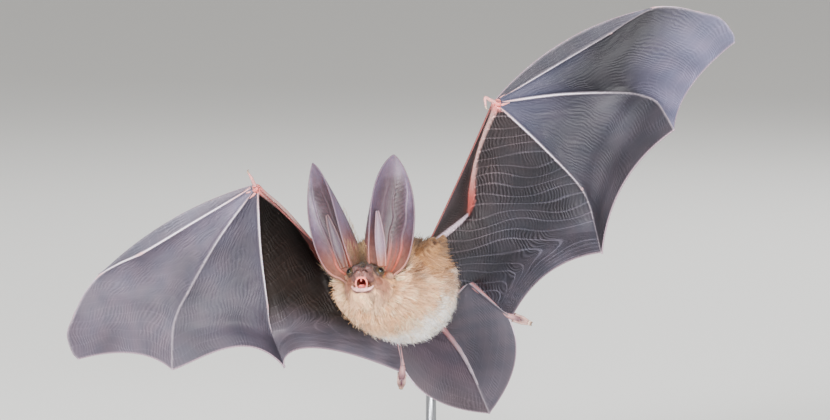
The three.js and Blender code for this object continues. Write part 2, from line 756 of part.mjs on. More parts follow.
function legBones(pose) {
  const hip = inTrunk(HIP, pose.side);
  const [, knee, ankle] = chain(hip, [FEMUR, TIBIA], [pose.femur, pose.tibia]);
  const thigh = bar(new THREE.LineCurve3(hip, knee), (t) => lerp(1.9, 1.1, t), { sides: 6, steps: 3 });
  const shin = bar(new THREE.LineCurve3(knee, ankle), (t) => lerp(1.15, 0.75, t), { sides: 6, steps: 4 });
  return { hip, knee, ankle, thigh, shin };
}

function footShape(ankle, pose) {
  const towards = aim(pose.foot);
  const across = towards.clone().cross(vec(0, 1, 0)).normalize();
  const sole = towards.clone().cross(across).normalize();
  const palmEnd = along(ankle, towards, FOOT.length - FOOT.toeLength + 1.4);
  const palm = bar(new THREE.LineCurve3(ankle, palmEnd), (t) => lerp(0.75, 1.2, t), { sides: 6, steps: 2 });
  const toes = [-2, -1, 0, 1, 2].map((toe) => {
    const root = along(along(ankle, towards, FOOT.length - FOOT.toeLength), across, toe * 0.45);
    const direction = towards.clone().addScaledVector(across, toe * Math.tan(degToRad(FOOT.fan))).normalize();
    const knuckle = along(root, direction, FOOT.toeLength * 0.6);
    const tip = along(along(root, direction, FOOT.toeLength), sole, 0.5 * pose.side);
    const claw = along(along(tip, direction, FOOT.clawLength * 0.3), sole, FOOT.clawLength * pose.side);
    const path = smoothPath([root, knuckle, tip, claw]);
    return solid(bar(path, (t) => lerp(0.4, 0.27, t), { sides: 4, steps: 3 }));
  });
  return toes.reduce((whole, toe) => whole.add(toe), solid(palm));
}

function addLeg(name) {
  const pose = POSE[name];
  const leg = legBones(pose);
  add(bat, `thigh_${name}`, clearOf(leg.thigh, [leg.shin, trunk]), "skin");
  add(bat, `shin_${name}`, clearOf(leg.shin, [trunk]), "skin");
  const foot = footShape(leg.ankle, pose);
  add(bat, `foot_${name}`, largest(foot.subtract(solid(swollen(leg.shin)))), "skin");

  // The tail web, from the leg to the tail, held open at its edge by the heel's spur.
  const tailTip = tailPath.getPointAt(1);
  const outwards = aim(pose.calcar);
  const onTail = (t) => tailPath.getPointAt(t);
  const ankleSide = along(leg.ankle, outwards, 0.4);
  const tailEdge = beside(onTail, tailRadius, (t) => mix(leg.knee, leg.ankle, t));
  const edge = (u) =>
    along(mix(ankleSide, tailEdge(1), u), outwards, 4 * u * (1 - u) * (1 - 0.3 * u) * pose.webBulge);
  const bend = 0.35;
  const onLeg = (v) =>
    v < bend ? mix(leg.hip, leg.knee, v / bend) : mix(leg.knee, ankleSide, (v - bend) / (1 - bend));
  const start = (u) => mix(leg.hip, tailEdge(0), u);
  const grid = tightened(gridOf(stretched(start, edge, onLeg, tailEdge), 5, 7), 5, 7, 20);
  const web = slab(billowed(grid, 5, 7, vec(0, 1, 0), 1), 5, 7);
  const inTheWay = [leg.thigh, leg.shin, tail, trunk, geometryOf(foot)];
  add(bat, `web_tail_${name}`, clearOf(web, inTheWay), "web");
}

for (const name of ["left", "right"]) {
  addWing(name);
  addLeg(name);
}

// ---------------------------------------------------------------- stand

function baseShape() {
  const { baseRadius: r, baseThickness: h, bevel } = STAND;
  const outline = [[0, 0], [r, 0], [r, h - bevel], [r - bevel, h], [0, h]];
  const disc = new THREE.LatheGeometry(outline.map(([x, y]) => new THREE.Vector2(x, y)), 36);
  return bare(disc.rotateX(Math.PI / 2));
}

const whole = new THREE.Group();
whole.add(bat);
add(whole, "stand_base", baseShape(), "stand");
add(whole, "stand_post", post, "steel");
add(whole, "stand_arm", geometryOf(solid(arm).subtract(solid(swollen(post)))), "steel");

export default whole;
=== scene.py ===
"""A big-eared bat in flight, life size, on a display stand: skin, coat, eyes, claws, stand and light.

Shapes are worked out in millimetres in the bat's flight frame (its left is +X, its front is -Y), with the
same sizes and the same pose as the frame's nodes, and are then placed on the stand.
A direction is a pair of angles in degrees: turn, counted in the frontal plane from the bat's left towards
the top, and lean, counted from that plane towards the front.
"""
import math

import bpy
import numpy as np
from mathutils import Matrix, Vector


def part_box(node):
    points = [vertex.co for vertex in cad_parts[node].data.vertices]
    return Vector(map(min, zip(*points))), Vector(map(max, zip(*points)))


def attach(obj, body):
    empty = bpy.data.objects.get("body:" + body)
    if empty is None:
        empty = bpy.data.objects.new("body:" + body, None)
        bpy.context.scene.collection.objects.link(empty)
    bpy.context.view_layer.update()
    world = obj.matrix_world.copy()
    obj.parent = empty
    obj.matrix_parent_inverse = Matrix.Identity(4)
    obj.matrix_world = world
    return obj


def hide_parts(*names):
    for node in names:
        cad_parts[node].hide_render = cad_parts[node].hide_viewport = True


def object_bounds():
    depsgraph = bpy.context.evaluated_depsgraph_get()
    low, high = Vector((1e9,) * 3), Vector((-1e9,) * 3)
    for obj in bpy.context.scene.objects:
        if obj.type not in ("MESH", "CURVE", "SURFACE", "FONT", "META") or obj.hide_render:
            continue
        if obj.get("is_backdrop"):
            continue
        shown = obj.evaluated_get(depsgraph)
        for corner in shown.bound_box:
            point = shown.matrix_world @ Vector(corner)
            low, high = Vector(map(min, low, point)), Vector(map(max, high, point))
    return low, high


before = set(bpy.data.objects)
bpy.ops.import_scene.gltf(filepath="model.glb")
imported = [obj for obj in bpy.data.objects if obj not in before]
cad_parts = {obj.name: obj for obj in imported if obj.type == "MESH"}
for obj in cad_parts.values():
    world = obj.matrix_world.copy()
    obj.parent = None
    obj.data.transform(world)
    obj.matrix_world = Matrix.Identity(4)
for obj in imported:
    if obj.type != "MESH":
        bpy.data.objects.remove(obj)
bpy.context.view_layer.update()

import openvdb as vdb
from mathutils import Matrix, Vector
from mathutils.kdtree import KDTree

random = np.random.default_rng(11)

# ------------ sizes, in millimetres

MM = 0.001
TILT = -6  # the whole bat's pitch on the rod, in degrees
LIFT = 88  # of the flight frame's origin above the floor
SHIFT = -18  # of that origin along Y, which brings the bat over its base

FOREARM, HUMERUS, FEMUR, TIBIA, TAIL = 43.5, 26, 14.6, 19.5, 46
FINGER_BONES = {3: [39, 15, 14, 12.6, 2.2], 4: [38, 10.5, 12.8], 5: [37, 10, 11]}
THUMB_BONES = [5, 2.4]
FOREARM_BOW = 2.4  # how far its middle bows towards the leading edge
# the bow of each finger bone, as a share of its length
FINGER_BOW = {3: [0, 0.03, 0.06, 0.15, 0], 4: [0.025, 0.05, 0.02], 5: [0.015, 0.04, 0]}
WRIST_SPREAD = 1.3  # from the wrist to the roots of the fingers
# how far each root lies towards the leading edge
KNUCKLE_OFFSET = {3: 0.8, 4: 0.3, 5: -0.2}
# each finger's radius at its root and at its tip, slimmer than the solids
FINGER_RADIUS = {2: (0.26, 0.2), 3: (0.44, 0.18), 4: (0.4, 0.17), 5: (0.42, 0.18)}
BILLOW = 0.06  # how deep a web bulges, as a share of its width
WEB_HALF = 0.13  # half the thickness of the bare membrane, drawn thicker than the real one

TRUNK_CENTRE = np.array([-6.0, 0, -23])
SPINE_POINTS = [(-13.6, -20, -21), (-6.4, 0, -23), (4.4, 23, -30.5)]
TAIL_ROOT = np.array([5.5, 19.5, -32])
# shares of the way from neck to rump, each with the radius to the tips of the coat there
COAT_RADIUS = [
    (0, 10.5), (0.1, 13.2), (0.2, 14.9), (0.45, 16.4), (0.7, 15.4), (0.84, 12.4), (0.94, 8), (1, 3),
]
SHOULDER, HIP = (9, 10, 3), (-19, 5, -3)

HEAD_CENTRE = np.array([-13.5, -25.7, -20])
HEAD_YAW, HEAD_PITCH, HEAD_ROLL = -10.5, -18, -2
EYE = {"radius": 1.0, "side": 4.35, "fore": 4.9, "up": 0.9}
EAR = {"length": 34.1, "half_width": 7.1, "base": (2.6, 3), "forward": 16, "cup": (104, 24)}
TRAGUS = {"length": 16, "half_width": 1.3, "base": (1.9, -2.6, 3), "forward": 15}
FOOT = {"length": 8.4, "toe": 4.9, "claw": 1.5, "fan": -1.5}

POSE = {
    "left": {
        "side": 1, "humerus": (38.5, -33), "forearm": (76.7, 41.5),
        "ear": {"side": 2.7, "splay": 9.3, "outward": 38, "tip": 0.75,
                "tragus": -4, "ribs": 1, "tragus_shading": 0.85},
        "thumb": [(158, 40), (-88, 5)],
        3: [(32, -8.5), (30, -7.5), (-5, -9.5), (-32, -18), (-82, -15)],
        4: [(4.6, -6.5), (-18, 35), (-62, 42)],
        5: [(-44.5, -19), (-67.5, -14), (-78, 20)],
        "lead_bow": 4.6, "neck_web": (5, 9.2, 1),
        "sag": {"tip": (0.1, 1), "middle": (0.105, 1), "arm": (0.085, 1)},
        "femur": (44.7, -26), "tibia": (-41, -34), "foot": (-20, -25),
        "calcar": (-8, -5), "web_bulge": 5.8,
    },
    "right": {
        "side": -1, "humerus": (167, -70), "forearm": (127.5, 44.5),
        "ear": {"side": 4.6, "splay": 20.5, "outward": 49, "tip": 0.85,
                "tragus": 18, "ribs": 0.4, "tragus_shading": 0.35},
        "thumb": [(112, 50), (120, 45)],
        3: [(-150.4, -1), (-152.6, -21), (-123, -4), (-94, -22), (-48, -12)],
        4: [(-123.5, -9), (-112.7, -4), (-90.6, 13)],
        5: [(-85.5, -18.3), (-80, -19), (-67.3, 31)],
        "lead_bow": 3.4, "neck_web": (5, 4.2, 7.5),
        "sag": {"tip": (0.14, 1), "middle": (0.2, 1.3), "arm": (0.135, 0.63)},
        "femur": (134, -67), "tibia": (-80.6, -18.6), "foot": (-94, -15),
        "calcar": (-119, -5), "web_bulge": 5,
    },
}
TAIL_POSE = [(-54, -44), (-66, -33)]

# ------------ small tools


def unit(v):
    """A direction, or each of several, at a length of 1."""
    v = np.asarray(v, float)
    return v / np.maximum(np.linalg.norm(v, axis=-1, keepdims=True), 1e-12)


def mix(a, b, share):
    return a + (b - a) * share


def share_of(array):
    """The array with one more axis, to weigh points by it."""
    return np.asarray(array, float)[..., None]


def smooth(low, high, value):
    """0 at low and before it, 1 at high and beyond, with soft ends."""
    t = np.clip((value - low) / (high - low), 0, 1)
    return t * t * (3 - 2 * t)


def hump(value, width):
    """1 where the value is 0, falling away on both sides over about the width."""
    return np.exp(-((value / width) ** 2))


def aim(angles):
    """The way that a pair of angles points."""
    turn, lean = np.radians(angles)
    return np.array([math.cos(lean) * math.cos(turn), -math.sin(lean), math.cos(lean) * math.sin(turn)])


# the trunk's own axes: towards the head, the bat's left and the back
FORE = unit((-0.38, -0.86, 0.33))
LEFT = np.array([0.88, -0.35, 0.31])
LEFT = unit(LEFT - FORE * LEFT.dot(FORE))
BACK = np.cross(FORE, LEFT)


def in_trunk(place, side):
    """A place by the trunk's own axes: towards the head, to that side, towards the back."""
    fore, out, back = place
    return TRUNK_CENTRE + FORE * fore + LEFT * out * side + BACK * back


def leading(direction, side):
    """Across a bone, in the frontal plane, towards the wing's leading edge."""
    return unit(np.cross(direction, (0, side, 0)))


def chain(start, lengths, directions):
    """The joints of bones that follow one another."""
    joints = [np.asarray(start, float)]
    for length, direction in zip(lengths, directions):
        joints.append(joints[-1] + aim(direction) * length)
    return joints


class Path:
    """A line of points read by the share of its length."""

    def __init__(self, points):
        self.points = np.asarray(points, float)
        steps = np.linalg.norm(np.diff(self.points, axis=0), axis=1)
        self.length = steps.sum()
        self.shares = np.concatenate([[0], np.cumsum(steps)]) / self.length

    def at(self, t):
        t = np.asarray(t, float)
        return np.stack([np.interp(t, self.shares, self.points[:, k]) for k in range(3)], axis=-1)

    def along(self, t, step=0.01):
        t = np.asarray(t)
        return unit(self.at(np.minimum(t + step, 1)) - self.at(np.maximum(t - step, 0)))

    def nearest(self, place):
        t = np.linspace(0, 1, 401)
        return t[np.argmin(np.linalg.norm(self.at(t) - place, axis=1))]


def smooth_path(joints, per=60):
    """A centripetal Catmull-Rom line through its joints."""
    p = np.array(joints, float)
    p = np.vstack([2 * p[0] - p[1], p, 2 * p[-1] - p[-2]])
    s = np.linspace(0, 1, per, endpoint=False)[:, None]
    out = []
    for p0, p1, p2, p3 in zip(p, p[1:], p[2:], p[3:]):
        d0, d1, d2 = (max(np.linalg.norm(b - a) ** 0.5, 1e-3) for a, b in ((p0, p1), (p1, p2), (p2, p3)))
        t1 = ((p1 - p0) / d0 - (p2 - p0) / (d0 + d1) + (p2 - p1) / d1) * d1
        t2 = ((p2 - p1) / d1 - (p3 - p1) / (d1 + d2) + (p3 - p2) / d2) * d1
        out.append(p1 + t1 * s + (3 * (p2 - p1) - 2 * t1 - t2) * s**2 + (2 * (p1 - p2) + t1 + t2) * s**3)
    return Path(np.vstack(out + [p[-2][None]]))


def bowed(start, end, bow, side):
    """A line whose middle bows towards the leading edge."""
    control = (start + end) / 2 + leading(end - start, side) * 2 * bow
    t = np.linspace(0, 1, 81)[:, None]
    return Path((1 - t) ** 2 * start + 2 * t * (1 - t) * control + t**2 * end)


def rotation(axis, degrees):
    return np.array(Matrix.Rotation(math.radians(degrees), 3, axis))


HEAD_TURN = rotation("Z", HEAD_YAW) @ rotation("X", HEAD_PITCH) @ rotation("Y", HEAD_ROLL)


def from_head(points):
    """Points of the head's frame (front is -Y) in the flight frame."""
    return np.asarray(points) @ HEAD_TURN.T + HEAD_CENTRE


def in_head(points):
    return (np.asarray(points) - HEAD_CENTRE) @ HEAD_TURN


def on_stand(points):
    """Points of the flight frame, in millimetres, in the row frame, in metres."""
    turned = np.asarray(points) @ rotation("X", TILT).T
    return (turned + (0, SHIFT, LIFT)) * MM


def linear(code):
    """The linear colour of an sRGB hex code."""
    parts = [int(code[i : i + 2], 16) / 255 for i in (1, 3, 5)]
    return np.array([c / 12.92 if c <= 0.04045 else ((c + 0.055) / 1.055) ** 2.4 for c in parts])


def painted(tint, *layers):
    """A tint under layers of other colours, each laid on by its own amount at each place."""
    for colour, amount in layers:
        tint = mix(tint, colour, share_of(amount))
    return tint


def colours(*codes):
    return [linear(code) for code in codes]


def full_turn(count):
    """Angles spread evenly round a ring."""
    return np.arange(count) / count * 2 * math.pi


def lattice(rows, columns):
    """The values of rows and of columns at each point of their grid."""
    return np.meshgrid(rows, columns, indexing="ij")


def wander(points, size, seed):
    """A slow random field over points, from -1 to 1, with waves of about the given size."""
    source = np.random.default_rng(seed)
    field = 0
    for _ in range(7):
        direction = unit(source.normal(size=3)) * source.uniform(0.6, 1.6) * 2 * math.pi / size
        field = field + np.sin(points @ direction + source.uniform(0, 6.28))
    return field / 3.5


# ------------ meshes


class Sheet:
    """Collects points and faces of one piece, with a tint and the web's own coordinates at each point."""

    def __init__(self):
        self.points, self.faces, self.looks, self.tints, self.webs = [], [], [], [], []
        self.count = 0

    def add(self, points, faces, tint, look=0, web=(0.0, 0.0, 0.0)):
        number = len(points)
        self.points.append(points)
        for group in faces:
            group = np.asarray(group)
            self.faces.append(group + self.count)
            self.looks.append(np.full(len(group), look))
        self.tints.append(np.broadcast_to(tint, (number, 3)))
        self.webs.append(np.broadcast_to(web, (number, 3)))
        self.count += number

    def object(self, name, materials, placed=on_stand):
        points = placed(np.vstack(self.points))
        mesh = bpy.data.meshes.new(name)
        mesh.vertices.add(len(points))
        mesh.vertices.foreach_set("co", points.astype(np.float32).ravel())
        loops = np.concatenate([group.ravel() for group in self.faces])
        sizes = np.concatenate([np.full(len(group), group.shape[1]) for group in self.faces])
        mesh.loops.add(len(loops))
        mesh.loops.foreach_set("vertex_index", loops.astype(np.int32))
        mesh.polygons.add(len(sizes))
        mesh.polygons.foreach_set("loop_start", (np.cumsum(sizes) - sizes).astype(np.int32))
        mesh.polygons.foreach_set("material_index", np.concatenate(self.looks).astype(np.int32))
        mesh.update(calc_edges=True)
        mesh.validate()
        mesh.shade_smooth()
        tint = mesh.attributes.new("tint", "FLOAT_COLOR", "POINT")
        rgba = np.ones((len(points), 4), np.float32)
        rgba[:, :3] = np.vstack(self.tints)
        tint.data.foreach_set("color", rgba.ravel())
        if any(np.any(web) for web in self.webs):
            web = mesh.attributes.new("web", "FLOAT_VECTOR", "POINT")
            web.data.foreach_set("vector", np.vstack(self.webs).astype(np.float32).ravel())
        made = bpy.data.objects.new(name, mesh)
        bpy.context.scene.collection.objects.link(made)
        for material in materials:
            mesh.materials.append(material)
        return made


def grid_faces(rows, columns, closed=False):
    """Quads between the points of a grid, row after row; closed joins the last column to the first."""
    r = np.arange(rows - 1)[:, None] * columns
    c = np.arange(columns if closed else columns - 1)
    n = (c + 1) % columns
    return np.stack([r + c, r + n, r + columns + n, r + columns + c], axis=-1).reshape(-1, 4)


def end_caps(rings, sides):
    """Triangles from the first and the last ring of a tube to its two end points, which follow the rings."""
    i = np.arange(sides)
    j = (i + 1) % sides
    tip, last = np.full(sides, rings * sides), (rings - 1) * sides
    return np.vstack([np.stack([tip, i, j], 1), np.stack([tip + 1, last + j, last + i], 1)])


def tube(path, radius, steps, sides=12, flat=1.0, reach=0.5):
    """A bar along a path, drawn to a point at both ends by its reach, in radii; flat is its thickness
    beside its width. Gives its points, faces and shares of the path."""
    t = np.linspace(0, 1, steps + 1)
    centre, tangents = path.at(t), path.along(t)
    normal = np.array([0, 1.0, 0]) if abs(tangents[0][1]) < 0.9 else np.array([1.0, 0, 0])
    normals = []
    for tangent in tangents:
        normal = unit(normal - tangent * normal.dot(tangent))
        normals.append(normal)
    normals = np.array(normals)
    binormals = np.cross(tangents, normals)
    angle = full_turn(sides)[None, :, None]
    r = radius(t)[:, None, None]
    across, over = normals[:, None] * np.cos(angle), flat * binormals[:, None] * np.sin(angle)
    rings = centre[:, None] + (across + over) * r
    ends = [centre[0] - tangents[0] * reach * r[0, 0, 0], centre[-1] + tangents[-1] * reach * r[-1, 0, 0]]
    points = np.vstack([rings.reshape(-1, 3), ends])
    faces = [grid_faces(steps + 1, sides, closed=True)[:, ::-1], end_caps(steps + 1, sides)[:, ::-1]]
    return points, faces, np.concatenate([np.repeat(t, sides), [0, 1]])


def grid_normal(grid):
    return unit(np.cross(np.gradient(grid, axis=1), np.gradient(grid, axis=0)))


ROUND_EDGE = 0.5  # how far a leaf's edge stands out, as a share of its half thickness


def leaf(grid, half):
    """A closed sheet over a grid of points, of the half thickness given at each, with round edges."""
    rows, columns = grid.shape[:2]
    lift = grid_normal(grid) * half[..., None]
    upper, lower = grid + lift, grid - lift
    count = rows * columns
    n = np.arange(count).reshape(rows, columns)
    loop = np.concatenate([n[0, :-1], n[:-1, -1], n[-1, :0:-1], n[:0:-1, 0]])
    around = grid.reshape(-1, 3)[loop]
    inside = np.concatenate([grid[1, :-1], grid[:-1, -2], grid[-2, :0:-1], grid[:0:-1, 1]])
    edge = around + unit(around - inside) * (half.reshape(-1)[loop] * ROUND_EDGE)[:, None]
    points = np.vstack([upper.reshape(-1, 3), lower.reshape(-1, 3), edge])
    body = grid_faces(rows, columns)
    e = 2 * count + np.arange(len(loop))
    f = np.roll(e, -1)
    a, b = loop, np.roll(loop, -1)
    walls = np.vstack([np.stack([a, e, f, b], 1), np.stack([e, a + count, b + count, f], 1)])
    return points, [body[:, ::-1], body + count, walls[:, ::-1]], loop


def spread_over(values, loop):
    """Values of a leaf's grid, for its upper face, its lower face and its edge."""
    flat = values.reshape(-1, *values.shape[2:])
    return np.concatenate([flat, flat, flat[loop]])


def cubic(grid, row, column):
    """A coarse grid read smoothly at fractional rows and columns."""
    def weights(x, count):
        i = np.clip(np.floor(x).astype(int), 0, count - 2)
        t = x - i
        w = [
            -0.5 * t + t**2 - 0.5 * t**3, 1 - 2.5 * t**2 + 1.5 * t**3,
            0.5 * t + 2 * t**2 - 1.5 * t**3, -0.5 * t**2 + 0.5 * t**3,
        ]
        return [np.clip(i + k, 0, count - 1) for k in (-1, 0, 1, 2)], w

    rows, row_weights = weights(row, grid.shape[0])
    columns, column_weights = weights(column, grid.shape[1])
    total = 0
    for r, wr in zip(rows, row_weights):
        for c, wc in zip(columns, column_weights):
            total = total + grid[r, c] * (wr * wc)[..., None]
    return total


def coons(edges, u, v):
    """The surface stretched between four edges (top, bottom, start, end) that meet at their ends."""
    top, bottom, start, end = edges
    ends = np.array([0.0, 1.0])
    (t0, t1), (b0, b1) = top(ends), bottom(ends)
    su, sv = share_of(u), share_of(v)
    corners = mix(mix(t0, t1, su), mix(b0, b1, su), sv)
    return mix(top(u), bottom(u), sv) + mix(start(v), end(v), su) - corners


# how far each of the finer rows lies below a web's top edge and above its free edge
ROWS_AT_TOP, EVEN_FROM_TOP = [0.5, 1, 1.5, 2.1, 2.8], 3.6
ROWS_AT_EDGE, EVEN_FROM_EDGE = [0.0, 0.08, 0.2, 0.4, 0.7, 1.1], 1.6


def stretched_web(edges, coarse, passes, billow, rows, columns, fine_top=False):
    """A web's grid of points, drawn tight on a coarse grid, then bulged backwards, with finer rows towards
    its free edge and, on request, under its top edge too."""
    across, down = coarse
    v, u = lattice(np.linspace(0, 1, down + 1), np.linspace(0, 1, across + 1))
    plain = coons(edges, u, v)
    tight = plain.copy()
    for _ in range(passes):
        for j in range(1, down):
            for i in range(1, across):
                beside = tight[j, i - 1] + tight[j, i + 1] + tight[j - 1, i] + tight[j + 1, i]
                tight[j, i] = beside / 4
    tight[..., 1] += 16 * u * (1 - u) * v * (1 - v) * billow
    top, bottom, start, end = edges
    middle = np.array([0.5])
    depth = np.linalg.norm(bottom(middle) - top(middle))
    above = [] if not fine_top else [[0], np.array(ROWS_AT_TOP) / depth]
    first = 0 if not fine_top else EVEN_FROM_TOP / depth
    even = np.linspace(first, 1 - EVEN_FROM_EDGE / depth, rows)
    v_rows = np.concatenate([*above, even, 1 - np.array(ROWS_AT_EDGE)[::-1] / depth])
    width = np.linalg.norm(start(v_rows) - end(v_rows), axis=-1)
    # columns stand closer beside the bones, the more so the wider the web is
    crowd = np.clip(1.6 * np.sqrt(width / 35), 0.05, 1.9)[:, None]
    s = np.linspace(-1, 1, columns)[None]
    u = 0.5 + 0.5 * np.tanh(crowd * s) / np.tanh(crowd)
    v = np.broadcast_to(v_rows[:, None], u.shape)
    return coons(edges, u, v) + cubic(tight - plain, v * down, u * across), u, v


def run_along(grid, axis):
    """Distance from the start of each line of a grid, and from its end."""
    step = np.linalg.norm(np.diff(grid, axis=axis), axis=-1)
    zero = np.zeros_like(np.take(step, [0], axis=axis))
    run = np.cumsum(np.concatenate([zero, step], axis=axis), axis=axis)
    total = np.take(run, [-1], axis=axis)
    return run, total - run


# ------------ bones of the wings, legs and tail


def wing_bones(pose):
    """The places of a wing's joints and the paths of its bones; finger 2 runs along the leading edge."""
    side = pose["side"]
    shoulder = in_trunk(SHOULDER, side)
    elbow = shoulder + aim(pose["humerus"]) * HUMERUS
    wrist = elbow + aim(pose["forearm"]) * FOREARM
    paths, joints = {}, {}
    for number, lengths in FINGER_BONES.items():
        first = aim(pose[number][0])
        joints[number] = chain(wrist, lengths, pose[number])
        joints[number][0] = wrist + first * WRIST_SPREAD + leading(first, side) * KNUCKLE_OFFSET[number]
        through = [joints[number][0]]
        for i, (a, b) in enumerate(zip(joints[number], joints[number][1:])):
            bow = FINGER_BOW[number][i] * lengths[i]
            through += [(a + b) / 2 + leading(b - a, side) * bow, b]
        paths[number] = smooth_path(through)
    outer_start = wrist + leading(aim(pose[3][0]), side)
    paths[2] = bowed(outer_start, joints[3][2], pose["lead_bow"], side)
    thumb = chain(wrist, THUMB_BONES, pose["thumb"])
    return {
        "shoulder": shoulder, "elbow": elbow, "wrist": wrist, "joints": joints, "paths": paths,
        "anchor": in_trunk(np.array(SHOULDER) + pose["neck_web"], side),
        "thumb": thumb, "forearm": bowed(elbow, wrist, FOREARM_BOW, side),
    }


def leg_bones(pose):
    hip = in_trunk(HIP, pose["side"])
    _, knee, ankle = chain(hip, [FEMUR, TIBIA], [pose["femur"], pose["tibia"]])
    return {"hip": hip, "knee": knee, "ankle": ankle}


def forearm_radius(t):
    return 0.85 + 0.95 * hump(t - 0.14, 0.2) + 0.5 * hump(t - 1, 0.06)


def upper_arm_radius(t):
    return mix(1.4, 0.6, t)


def tail_radius(t):
    return mix(0.95, 0.36, t)


def finger_radius(number, shares=()):
    thick, thin = FINGER_RADIUS[number]
    return lambda t: mix(thick, thin, t) + sum(0.16 * hump(t - s, 0.014) for s in shares)


# ------------ colours of the skin

WING_BONE, BONE_END, WRIST_RED, MUSCLE = colours("#cfc0cb", "#c78a86", "#c8716c", "#86352e")
ARM_SKIN, UPPER_ARM_SKIN, RIM = colours("#a17d79", "#a8949e", "#8d7782")
LEG_SKIN, SHIN_PINK, FOOT_SKIN, TAIL_SKIN = colours("#734a4d", "#9c6a6e", "#987273", "#8b7d85")
SOLE, TOE_SKIN = colours("#4a3139", "#a07f78")
FRONT_RIM = linear("#6f3a37")  # the muscle shines through the edge in front of the arm
# colours of each membrane near the wrist or arm, halfway and at the free edge
# beside the skin's own colours, the two wings' different tints for the same skin, and the near-black of the
# right arm web by the body, are painted light and shade
WEB_TINTS = {
    ("left", "leading"): ("#37343c", "#33313a", "#504d59"),
    ("left", "tip"): ("#474759", "#1a181e", "#66637a"),
    ("left", "middle"): ("#444355", "#2e2c35", "#3a363d"),
    ("left", "arm"): ("#332c2e", "#2a282e", "#46424c"),
    ("left", "front"): ("#3d2e2d", "#2d2627", "#403639"),
    ("left", "tail"): ("#3a3237", "#423e47", "#4d4851"),
    ("right", "leading"): ("#665e6a", "#6c6774", "#797481"),
    ("right", "tip"): ("#665f71", "#524b58", "#564d5a"),
    ("right", "middle"): ("#4a4553", "#413c47", "#443e49"),
    ("right", "arm"): ("#0b0706", "#201815", "#5f5762"),
    ("right", "front"): ("#8e3a34", "#663531", "#4a3235"),
    ("right", "tail"): ("#3e363e", "#483f48", "#534a51"),
}

# ------------ the skin's parts

skin = Sheet()
MEMBRANE, BARE = 0, 1
FIBRE_SPACING = 2.8  # between the elastic fibres that stripe a membrane
WEB_TONE = 0.63  # the membranes' darkness beside their colours above


def add_web(name, kind, grid, radii, seed, crossing=None, ruled=0.1, top_tint=None):
    """A membrane between bones: thin in the middle, thicker towards each bone and at the free edge.

    radii are those of the bones at its top, foot, start and end; crossing is the direction across its
    fibres, ruled says how clearly they show, and the top edge can take the colour of the arm.
    """
    from_start, from_end = run_along(grid, 1)
    from_top, from_free = run_along(grid, 0)
    half = np.full(grid.shape[:2], WEB_HALF)
    for distance, radius in zip((from_top, None, from_start, from_end), radii):
        if radius is not None:
            half = half + 0.8 * radius * hump(distance, 0.8 * radius + 0.3)
    half = np.minimum(half, 1.6) + 0.1 * hump(from_free, 0.3)
    spread = from_start + from_end
    inner = smooth(0, 2.5, np.minimum.reduce([from_start, from_end, from_free, from_top]))
    slow = wander(grid, 16, seed)
    across = (from_start - from_end) / 2 + 0.8 * wander(grid, 11, seed + 1)
    along = from_free + 1.1 * slow
    if crossing is not None:
        near_edge = hump(from_free, 5)
        along = mix(grid @ unit(crossing) + 1.1 * slow, from_free, near_edge)
        sideways = unit((-crossing[2], 0, crossing[0]))
        across = mix(grid @ sideways + 0.8 * wander(grid, 11, seed + 1), across, near_edge)
    ridge = hump(np.abs((along / FIBRE_SPACING) % 1 - 0.5) * FIBRE_SPACING, 0.45)
    crinkle = wander(np.stack([across * 3, along, from_free * 0], -1), 5.5, seed + 2)
    lift = (0.15 * ruled * ridge + 0.06 * crinkle) * inner
    points, faces, loop = leaf(grid + grid_normal(grid) * lift[..., None], half)
    near, middle, free = (linear(code) for code in WEB_TINTS[name, kind])
    v = from_top / np.maximum(from_top + from_free, 1e-6)
    tint = painted(near, (middle, smooth(0, 0.5, v)), (free, smooth(0.6, 1, v)))
    tint = tint * WEB_TONE * (1 + 0.22 * share_of(slow))
    tint = tint * (1 + share_of(0.5 * np.clip(wander(grid, 7, seed + 3), -1, 1)) * (0.25, 0.14, 0.1))
    beside = np.minimum(from_start, from_end)
    tint = painted(tint, (FRONT_RIM if kind == "front" else RIM, 0.8 * hump(from_free, 0.3)),
                   (WING_BONE, 0.2 * hump(beside, 0.3) * smooth(1, 6, spread)))
    if top_tint is not None:
        blend = 2.6 if kind == "front" else 1.5
        tint = painted(tint, (top_tint, smooth(blend, 1.05, from_top / radii[0])))
    web = np.stack([across + seed * 61, along, np.full_like(along, ruled)], -1)
    skin.add(points, faces, spread_over(tint, loop), MEMBRANE, spread_over(web, loop))


def add_bone(path, radius, tint, steps=60, sides=12):
    """tint is a colour, or gives colours for shares of the path."""
    points, faces, t = tube(path, radius, steps, sides)
    skin.add(points, faces, tint(t) if callable(tint) else tint, BARE)


def finger_tint(shares):
    """Pink at the wrist and the knuckles, white bone between them, and greyish towards the tip."""
    def tint(t):
        ends = [(BONE_END, 0.8 * hump(t - s, 0.02)) for s in shares]
        return painted(BONE_END, (WING_BONE, smooth(0, 0.15, t)), *ends, (RIM, smooth(0.5, 0.85, t)))
    return tint


def forearm_tint(t):
    return painted(ARM_SKIN, (WRIST_RED, smooth(0.88, 1, t)), (MUSCLE, 0.95 * hump(t - 0.12, 0.22)))


def free_edge(a, b, inwards, share, skew=1):
    """A free edge from a to b, drawn in towards a place by a share of its length."""
    pull = unit(inwards - (a + b) / 2) * np.linalg.norm(b - a)
    return lambda u: mix(a, b, share_of(u)) + pull * share_of(share * 4 * u**skew * (1 - u**skew))


